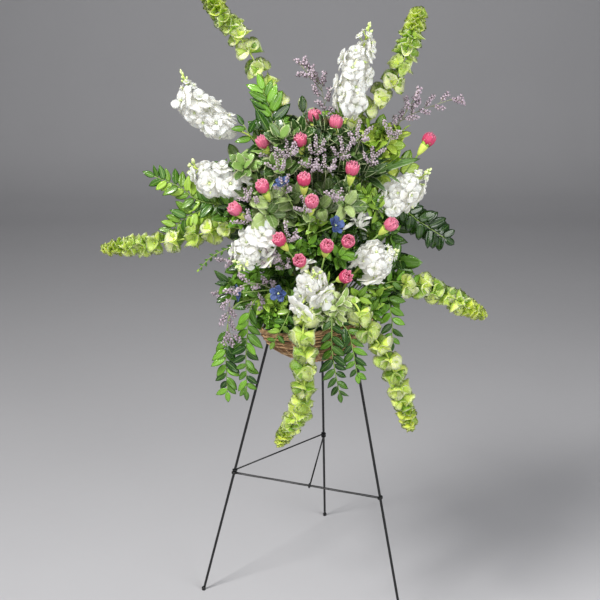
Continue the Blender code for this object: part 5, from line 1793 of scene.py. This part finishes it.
@dataclass
class Delphinium:
    """Open blue florets on a forked twig."""

    name: str
    trunk: Point
    blooms: tuple[Point, ...]
    extra: tuple[Point, ...]
    seed: int
    petal: float = 0.019
    stem: tuple[float, float] = (0.0016, 0.0011)

    def build(self, shop: Workshop, petal: bpy.types.Material, eye: bpy.types.Material, stem_finish: bpy.types.Material) -> None:
        """Make the twig and its florets.

        Args:
            shop: the workshop.
            petal: the petals' material.
            eye: the material of the pale eye.
            stem_finish: the stem's material.
        """
        dice = random.Random(self.seed)
        trunk = Vector(self.trunk)
        route = Route([*foot_of(trunk), trunk], 0.02)
        lines = [route.tapered(*self.stem)]
        petals = Repeats("petal", petal, 0.06)
        eyes = Repeats("bud", eye, 0.1)
        for bloom in (*self.blooms, *self.extra):
            end = Vector(bloom)
            lines.append(([trunk, end], [self.stem[1]] * 2))
            direction = (end - trunk).normalized()
            for whorl, (count, size, rise) in enumerate(((5, 1.0, 0.35), (3, 0.55, 0.9))):
                for number in range(count):
                    out = around(direction, (number + 0.5 * whorl) * math.tau / count + dice.uniform(-0.15, 0.15))
                    along = (out + direction * rise).normalized()
                    reach = self.petal * size * 1.05
                    petals.add(end - direction * 0.0015, turned_to(along, direction), (reach, reach, reach), dice.random(), number)
            for number in range(3):
                out = around(direction, number * math.tau / 3)
                eyes.add(end - direction * 0.001, facing((direction + out * 0.3).normalized(), out), (0.0014, 0.0014, 0.006),
                         dice.random(), 0)
        shop.finish_piece(self.name + "_florets", [shop.stems(lines, stem_finish, 1), shop.set_out(petals, self.seed),
                                                   shop.set_out(eyes, self.seed + 1)], [self.name])


@dataclass
class Studio:
    """A pale floor that curves up behind, soft light from the left, and the camera."""

    camera_place: Point = (-0.039, -1.833, 1.390)
    camera_tilt: float = 20.0
    focal_pixels: float = 900.0
    image_pixels: float = 600.0

    def build(self) -> None:
        """Make the floor, the lights and the camera."""
        self.build_floor()
        self.add_light("key", (-1.55, -1.40, 3.20), (0.0, -0.15, 0.9), 0.8, 102.0, (1.0, 0.985, 0.96))
        self.add_light("fill", (1.9, -2.1, 1.7), (0.0, -0.1, 0.8), 2.2, 74.0, (1.0, 1.0, 1.0))
        self.add_light("front", (-0.6, -2.6, 1.9), (0.0, -0.1, 0.8), 2.0, 26.0, (1.0, 1.0, 1.0))
        world = bpy.data.worlds.new("studio")
        world.use_nodes = True
        world.node_tree.nodes["Background"].inputs[0].default_value = (0.62, 0.63, 0.66, 1.0)
        world.node_tree.nodes["Background"].inputs[1].default_value = 0.13
        bpy.context.scene.world = world
        camera = bpy.data.cameras.new("camera")
        camera.sensor_fit = "HORIZONTAL"
        camera.sensor_width = 36.0
        camera.lens = 36.0 * self.focal_pixels / self.image_pixels
        holder = bpy.data.objects.new("camera", camera)
        bpy.context.scene.collection.objects.link(holder)
        holder.location = Vector(self.camera_place) + SHIFT
        holder.rotation_euler = (math.radians(90.0 - self.camera_tilt), 0.0, 0.0)
        bpy.context.scene.camera = holder
        bpy.context.scene.view_settings.view_transform = "Standard"

    def build_floor(self) -> None:
        """A wide floor swept up into a backdrop, in matt paint with faint unevenness."""
        profile = [(-8.0, 0.0), (3.4, 0.0), (3.8, 0.03), (4.1, 0.14), (4.3, 0.35), (4.4, 0.7), (4.42, 6.0)]
        form = bmesh.new()
        rows = [[form.verts.new((x, y, z)) for y, z in profile] for x in (-8.0, 8.0)]
        for index in range(len(profile) - 1):
            face = form.faces.new((rows[0][index], rows[1][index], rows[1][index + 1], rows[0][index + 1]))
            face.smooth = True
        mesh = mesh_from(form, "studio_floor")
        material, graph, shader = start_material("studio_paint")
        place = graph.node("ShaderNodeTexCoord").outputs["Object"]
        graph.feed(shader.inputs["Base Color"], graph.mix(graph.noise(place, 2.0), (0.495, 0.495, 0.515), (0.525, 0.525, 0.545)))
        graph.feed(shader.inputs["Roughness"], graph.ramp(graph.noise(place, 30.0), 0.3, 0.7, 0.80, 0.92))
        mesh.materials.append(material)
        floor = bpy.data.objects.new("studio_floor", mesh)
        bpy.context.scene.collection.objects.link(floor)

    def add_light(self, name: str, place: Point, aim: Point, size: float, power: float, colour: Colour) -> None:
        """Add one soft square light.

        Args:
            name: its name.
            place: where it stands.
            aim: what it points at.
            size: the length of its side.
            power: its power in watts.
            colour: its colour.
        """
        light = bpy.data.lights.new(name, "AREA")
        light.size = size
        light.energy = power
        light.color = colour
        lamp = bpy.data.objects.new(name, light)
        bpy.context.scene.collection.objects.link(lamp)
        lamp.location = Vector(place) + SHIFT
        lamp.rotation_euler = (Vector(aim) - Vector(place)).to_track_quat("-Z", "Y").to_euler()


# What the spray holds, and where


BELL_SPIKES = (
    BellSpike("bells_upper_left", ((-0.070, -0.130, 1.130), (-0.091, -0.125, 1.175), (-0.140, -0.120, 1.265),
                                   (-0.175, -0.118, 1.309), (-0.206, -0.115, 1.350)), 0.245, 0.036, 11, shade=0.30, tip=0.60),
    BellSpike("bells_upper_right", ((0.055, -0.120, 1.105), (0.090, -0.125, 1.155), (0.140, -0.135, 1.215),
                                    (0.175, -0.130, 1.320)), 0.235, 0.034, 12, shade=0.40, tip=0.72),
    BellSpike("bells_left", ((-0.145, -0.180, 0.930), (-0.270, -0.160, 0.905), (-0.420, -0.140, 0.880)), 0.290,
              0.038, 13),
    BellSpike("bells_right", ((0.135, -0.220, 0.830), (0.200, -0.210, 0.825), (0.315, -0.200, 0.765)), 0.200,
              0.030, 14, shade=1.6),
    BellSpike("bells_hanging_left", ((-0.010, -0.275, 0.815), (-0.032, -0.305, 0.785), (-0.032, -0.300, 0.720),
                                     (-0.035, -0.295, 0.620), (-0.078, -0.290, 0.535)), 0.305, 0.036, 15),
    BellSpike("bells_hanging_right", ((0.060, -0.260, 0.812), (0.085, -0.270, 0.765), (0.125, -0.265, 0.710),
                                      (0.160, -0.260, 0.610), (0.175, -0.260, 0.555)), 0.285, 0.036, 16, shade=1.2, tip=0.55),
)
STOCKS = (
    Stock("stock_top", ((0.046, -0.175, 1.150), (0.083, -0.170, 1.300)), 0.148, 0.0230, 4, 21, core=0.0190, bud_zone=0.034),
    Stock("stock_upper_left", ((-0.120, -0.150, 1.090), (-0.180, -0.145, 1.123), (-0.225, -0.140, 1.150),
                               (-0.256, -0.135, 1.215)), 0.130, 0.0240, 5, 22, core=0.0205, bud_zone=0.046, taper=-0.04),
    Stock("stock_left", ((-0.140, -0.190, 1.002), (-0.240, -0.170, 1.050)), 0.104, 0.0235, 2, 23, core=0.0195, bud_zone=0.010),
    Stock("stock_left_centre", ((-0.110, -0.222, 0.928), (-0.146, -0.285, 0.893)), 0.074, 0.0262, 4, 24, core=0.023,
          bud_zone=0.012),
    Stock("stock_centre", ((-0.017, -0.262, 0.832), (-0.014, -0.310, 0.884)), 0.074, 0.0268, 2, 25, core=0.0235,
          bud_zone=0.010),
    Stock("stock_right_centre", ((0.073, -0.235, 0.873), (0.135, -0.262, 0.912)), 0.080, 0.0275, 4, 26, core=0.025,
          bud_zone=0.026),
    Stock("stock_right", ((0.122, -0.190, 0.975), (0.200, -0.175, 1.042)), 0.104, 0.0245, 5, 27, core=0.0210, bud_zone=0.032),
)
CARNATIONS = (
    CarnationSpray("carnation_spray_top", (-0.030, -0.190, 1.060), (
        (-0.107, -0.197, 1.100), (-0.039, -0.222, 1.108), (-0.012, -0.164, 1.142), (0.026, -0.195, 1.136)), 31),
    CarnationSpray("carnation_spray_left", (-0.060, -0.225, 0.960), (
        (-0.106, -0.253, 1.031), (-0.157, -0.241, 0.986), (-0.032, -0.266, 1.047), (-0.018, -0.280, 1.010)), 32),
    CarnationSpray("carnation_spray_right", (0.060, -0.210, 0.960), (
        (0.054, -0.248, 1.062), (0.202, -0.150, 1.097), (0.126, -0.253, 0.961), (0.047, -0.287, 0.939)), 33),
    CarnationSpray("carnation_spray_centre", (-0.010, -0.245, 0.880), (
        (-0.076, -0.286, 0.942), (-0.040, -0.294, 0.905), (0.009, -0.293, 0.932), (0.044, -0.289, 0.873)), 34),
)
FOLIAGE = (
    Foliage("ruscus_top", Leafage.RUSCUS, (
        Branch(((-0.095, -0.180, 1.085), (-0.090, -0.172, 1.140), (-0.106, -0.165, 1.190)), 0.290, 0.0078, 0.042, (0.85, 1.25)),
        Branch(((-0.095, -0.180, 1.085), (-0.122, -0.185, 1.100), (-0.142, -0.190, 1.131)), 0.010, 0.0095, 0.030)), (
        Patch(Leafage.DARK, (-0.108, -0.190, 1.122), (0.020, 0.014), 2, 0.55),
        Patch(Leafage.SMALL, (-0.158, -0.205, 1.037), (0.042, 0.026), 9)), 41, "leaf_green"),
    Foliage("ruscus_left", Leafage.BRIGHT, (
        Branch(((-0.138, -0.150, 0.976), (-0.185, -0.150, 0.972), (-0.236, -0.145, 0.980), (-0.267, -0.140, 1.003),
                (-0.318, -0.135, 1.024)), 0.270, 0.0062, 0.033, shade=0.85),
        Branch(((-0.185, -0.150, 0.972), (-0.240, -0.150, 0.956), (-0.271, -0.145, 0.936), (-0.292, -0.140, 0.912)),
               0.010, 0.0066, 0.034, shade=1.1),
        Branch(((-0.150, -0.205, 0.912), (-0.178, -0.205, 0.899), (-0.206, -0.202, 0.884), (-0.232, -0.200, 0.857)), 0.150, 0.0070,
               0.010, (0.9, 1.6), rooted=True, shade=0.1)), (
        Patch(Leafage.MID, (-0.149, -0.220, 0.975), (0.038, 0.027), 6),), 42, "leaf_green"),
    Foliage("ruscus_right", Leafage.DARK, (
        Branch(((0.136, -0.160, 0.968), (0.192, -0.150, 0.938), (0.244, -0.140, 0.902)), 0.250, 0.0062, 0.036, shade=0.32),), (
        Patch(Leafage.BRIGHT, (0.080, -0.235, 0.997), (0.038, 0.030), 9),
        Patch(Leafage.MID, (0.092, -0.240, 0.943), (0.053, 0.034), 9),
        Patch(Leafage.WHITE, (0.066, -0.262, 0.957), (0.006, 0.008), 2, 0.55)), 43, "leaf_green"),
    Foliage("ruscus_lower_left", Leafage.RUSCUS, (
        Branch(((-0.118, -0.235, 0.814), (-0.140, -0.250, 0.733), (-0.143, -0.245, 0.622)), 0.105, 0.0088, 0.032, (0.60, 1.60), shade=0.8),
        Branch(((-0.118, -0.235, 0.814), (-0.165, -0.225, 0.790), (-0.181, -0.235, 0.720), (-0.181, -0.235, 0.616)),
               0.104, 0.0088, 0.032, (0.60, 1.60), shade=0.8)), (), 44, "leaf_green"),
    Foliage("ruscus_lower_right", Leafage.RUSCUS, (
        Branch(((0.111, -0.200, 0.826), (0.138, -0.200, 0.765), (0.142, -0.195, 0.705)), 0.080, 0.0115, 0.034, (0.7, 1.2)),
        Branch(((0.128, -0.218, 0.838), (0.170, -0.216, 0.834), (0.207, -0.212, 0.824)), 0.120, 0.0080, 0.024, rooted=True)), (
        Patch(Leafage.MID, (0.027, -0.262, 0.893), (0.038, 0.034), 7),
        Patch(Leafage.BRIGHT, (0.079, -0.252, 0.795), (0.042, 0.036), 10),
        Patch(Leafage.MID, (0.128, -0.218, 0.822), (0.030, 0.042), 8),
        Patch(Leafage.DARK, (0.150, -0.200, 0.862), (0.014, 0.020), 2)), 45, "leaf_green"),
    Foliage("ruscus_front", Leafage.RUSCUS, (
        Branch(((0.018, -0.262, 0.790), (0.022, -0.272, 0.715), (0.037, -0.268, 0.628)), 0.100, 0.0095, 0.030, (0.7, 1.2), shade=0.5),
        Branch(((0.018, -0.262, 0.790), (0.050, -0.270, 0.760), (0.060, -0.272, 0.725), (0.070, -0.268, 0.668)),
               0.016, 0.0095, 0.029, (0.7, 1.2), shade=0.5)), (
        Patch(Leafage.BRIGHT, (-0.085, -0.250, 0.802), (0.048, 0.022), 13),
        Patch(Leafage.LIGHT, (0.014, -0.272, 0.797), (0.052, 0.026), 15, 1.1)), 46, "leaf_green"),
    Foliage("ruscus_front_left", Leafage.BRIGHT, (
        Branch(((-0.048, -0.262, 0.815), (-0.066, -0.280, 0.783), (-0.088, -0.275, 0.738)), 0.060, 0.0105, 0.024),), (
        Patch(Leafage.MID, (-0.061, -0.260, 0.916), (0.057, 0.034), 10),
        Patch(Leafage.MID, (-0.121, -0.230, 0.842), (0.065, 0.034), 11),
        Patch(Leafage.RUSCUS, (-0.164, -0.205, 0.800), (0.030, 0.026), 5),
        Patch(Leafage.RUSCUS, (-0.092, -0.262, 0.776), (0.034, 0.012), 7, 0.80),
        Patch(Leafage.RUSCUS, (-0.073, -0.262, 0.768), (0.036, 0.012), 9, 0.75)), 47, "leaf_green"),
    Foliage("pittosporum_upper_right", Leafage.YELLOW, (
        Branch(((0.050, -0.105, 0.930), (0.111, -0.092, 1.104)), 0.090, 0.014, 0.044),
        Branch(((0.022, -0.100, 0.950), (0.038, -0.085, 1.127)), 0.040, 0.014, 0.044),
        Branch(((0.090, -0.110, 0.900), (0.160, -0.098, 1.037)), 0.030, 0.014, 0.044)), (
        Patch(Leafage.VARIEGATED, (0.023, -0.225, 1.085), (0.048, 0.042), 12),
        Patch(Leafage.YELLOW, (0.105, -0.180, 1.092), (0.049, 0.036), 12),
        Patch(Leafage.STRAP, (0.079, -0.205, 1.040), (0.030, 0.015), 6),
        Patch(Leafage.PALE, (0.029, -0.250, 0.994), (0.030, 0.034), 6)), 48, "variegated_green"),
    Foliage("pittosporum_upper_left", Leafage.VARIEGATED, (
        Branch(((-0.085, -0.108, 0.905), (-0.160, -0.092, 1.046)), 0.090, 0.014, 0.044),
        Branch(((-0.110, -0.115, 0.870), (-0.193, -0.098, 0.957)), 0.030, 0.014, 0.044)), (
        Patch(Leafage.VARIEGATED, (-0.096, -0.218, 1.052), (0.056, 0.030), 10),
        Patch(Leafage.PALE, (-0.096, -0.240, 1.009), (0.061, 0.030), 7),
        Patch(Leafage.SMALL, (-0.080, -0.225, 1.020), (0.060, 0.030), 6)), 49, "variegated_green",
        Cover(Leafage.MID, 80.0, 200.0, 16)),
    Foliage("pittosporum_centre", Leafage.VARIEGATED, (
        Branch(((-0.050, -0.102, 0.930), (-0.101, -0.086, 1.119)), 0.090, 0.014, 0.044),
        Branch(((-0.020, -0.100, 0.950), (-0.033, -0.085, 1.138)), 0.040, 0.014, 0.044)), (
        Patch(Leafage.VARIEGATED, (-0.039, -0.225, 1.088), (0.053, 0.042), 13),
        Patch(Leafage.PALE, (-0.042, -0.255, 0.976), (0.070, 0.034), 7),
        Patch(Leafage.BRIGHT, (0.000, -0.272, 0.955), (0.036, 0.018), 6, 0.85),
        Patch(Leafage.MID, (-0.010, -0.262, 0.916), (0.050, 0.016), 6, 0.90),
        Patch(Leafage.MID, (-0.030, -0.240, 0.985), (0.076, 0.036), 7),
        Patch(Leafage.STRAP, (-0.012, -0.232, 1.070), (0.050, 0.030), 5, 0.62)), 50, "variegated_green"),
    Foliage("pittosporum_lower_right", Leafage.MID, (
        Branch(((0.090, -0.115, 0.850), (0.171, -0.100, 0.938)), 0.060, 0.014, 0.044),
        Branch(((0.100, -0.150, 0.820), (0.155, -0.140, 0.850)), 0.030, 0.014, 0.044)), (
        Patch(Leafage.MID, (0.060, -0.225, 0.850), (0.050, 0.030), 6),), 51, "variegated_green",
        Cover(Leafage.MID, -20.0, 100.0, 16)),
)
LIMONIUMS = (
    Limonium("limonium_top", (
        Twig(((0.008, -0.135, 1.128), (0.002, -0.130, 1.183), (-0.015, -0.125, 1.222)), 0.360, True),
        Twig(((0.002, -0.130, 1.183), (-0.044, -0.120, 1.236)), 0.012),
        Twig(((-0.112, -0.252, 0.846), (-0.157, -0.270, 0.841), (-0.173, -0.272, 0.786), (-0.167, -0.268, 0.735)), 0.110, True)), (
        (-0.077, -0.240, 1.062), (-0.057, -0.245, 1.088), (-0.019, -0.257, 1.064), (0.007, -0.258, 1.060),
        (-0.069, -0.262, 1.028), (-0.130, -0.248, 1.003), (-0.138, -0.250, 0.962), (-0.030, -0.274, 0.989),
        (-0.086, -0.205, 1.072), (-0.053, -0.275, 0.937), (-0.089, -0.266, 0.891)), 61),
    Limonium("limonium_right", (
        Twig(((0.118, -0.130, 1.090), (0.160, -0.125, 1.133), (0.237, -0.120, 1.164), (0.260, -0.120, 1.170)), 0.350, True),
        Twig(((0.145, -0.126, 1.118), (0.180, -0.130, 1.180)), 0.012)), (
        (0.034, -0.248, 1.085), (-0.007, -0.248, 1.094), (0.022, -0.272, 1.012), (0.090, -0.235, 1.074),
        (0.068, -0.228, 1.108), (0.129, -0.190, 1.111), (-0.067, -0.270, 0.881), (-0.167, -0.225, 0.879),
        (-0.187, -0.170, 0.800), (-0.112, -0.245, 0.800)), 62),
)
DELPHINIUMS = (
    Delphinium("delphinium_upper", (-0.026, -0.225, 0.930), ((-0.070, -0.258, 1.035), (0.023, -0.280, 0.966)), (), 71),
    Delphinium("delphinium_lower", (-0.066, -0.230, 0.830), ((-0.078, -0.280, 0.838), (-0.150, -0.250, 0.828)), (), 72),
)


def build_plants(shop: Workshop) -> None:
    """Make every flower and all the foliage."""
    cup, young = CUP_FINISH.make(), BELL_TIP_FINISH.make()
    pale, green, grey = PALE_STEM.make(), GREEN_STEM.make(), GREY_STEM.make()
    white, bud = STOCK_FINISH.make(), BUD_FINISH.make()
    pink, calyx = PINK_FINISH.make(), CALYX_FINISH.make()
    lilac, blue = LILAC_FINISH.make(), BLUE_FINISH.make()
    for spike in BELL_SPIKES:
        spike.build(shop, cup, young, pale)
    for stock in STOCKS:
        stock.build(shop, white, bud, pale)
    for spray in CARNATIONS:
        spray.build(shop, pink, calyx, shop.leaf[Leafage.BRIGHT], green)
    for foliage in FOLIAGE:
        foliage.build(shop, green)
    for limonium in LIMONIUMS:
        limonium.build(shop, lilac, grey)
    for delphinium in DELPHINIUMS:
        delphinium.build(shop, blue, bud, green)


def main() -> None:
    """Build the dressed spray."""
    logging.basicConfig(level=logging.INFO, format="%(name)s %(message)s")
    shop = Workshop()
    Easel().build(shop)
    Bowl().build(shop)
    build_plants(shop)
    shop.book.clear()
    Studio().build()
    LOG.info("%d pieces", shop.pieces)


if __name__ == "__main__":
    main()
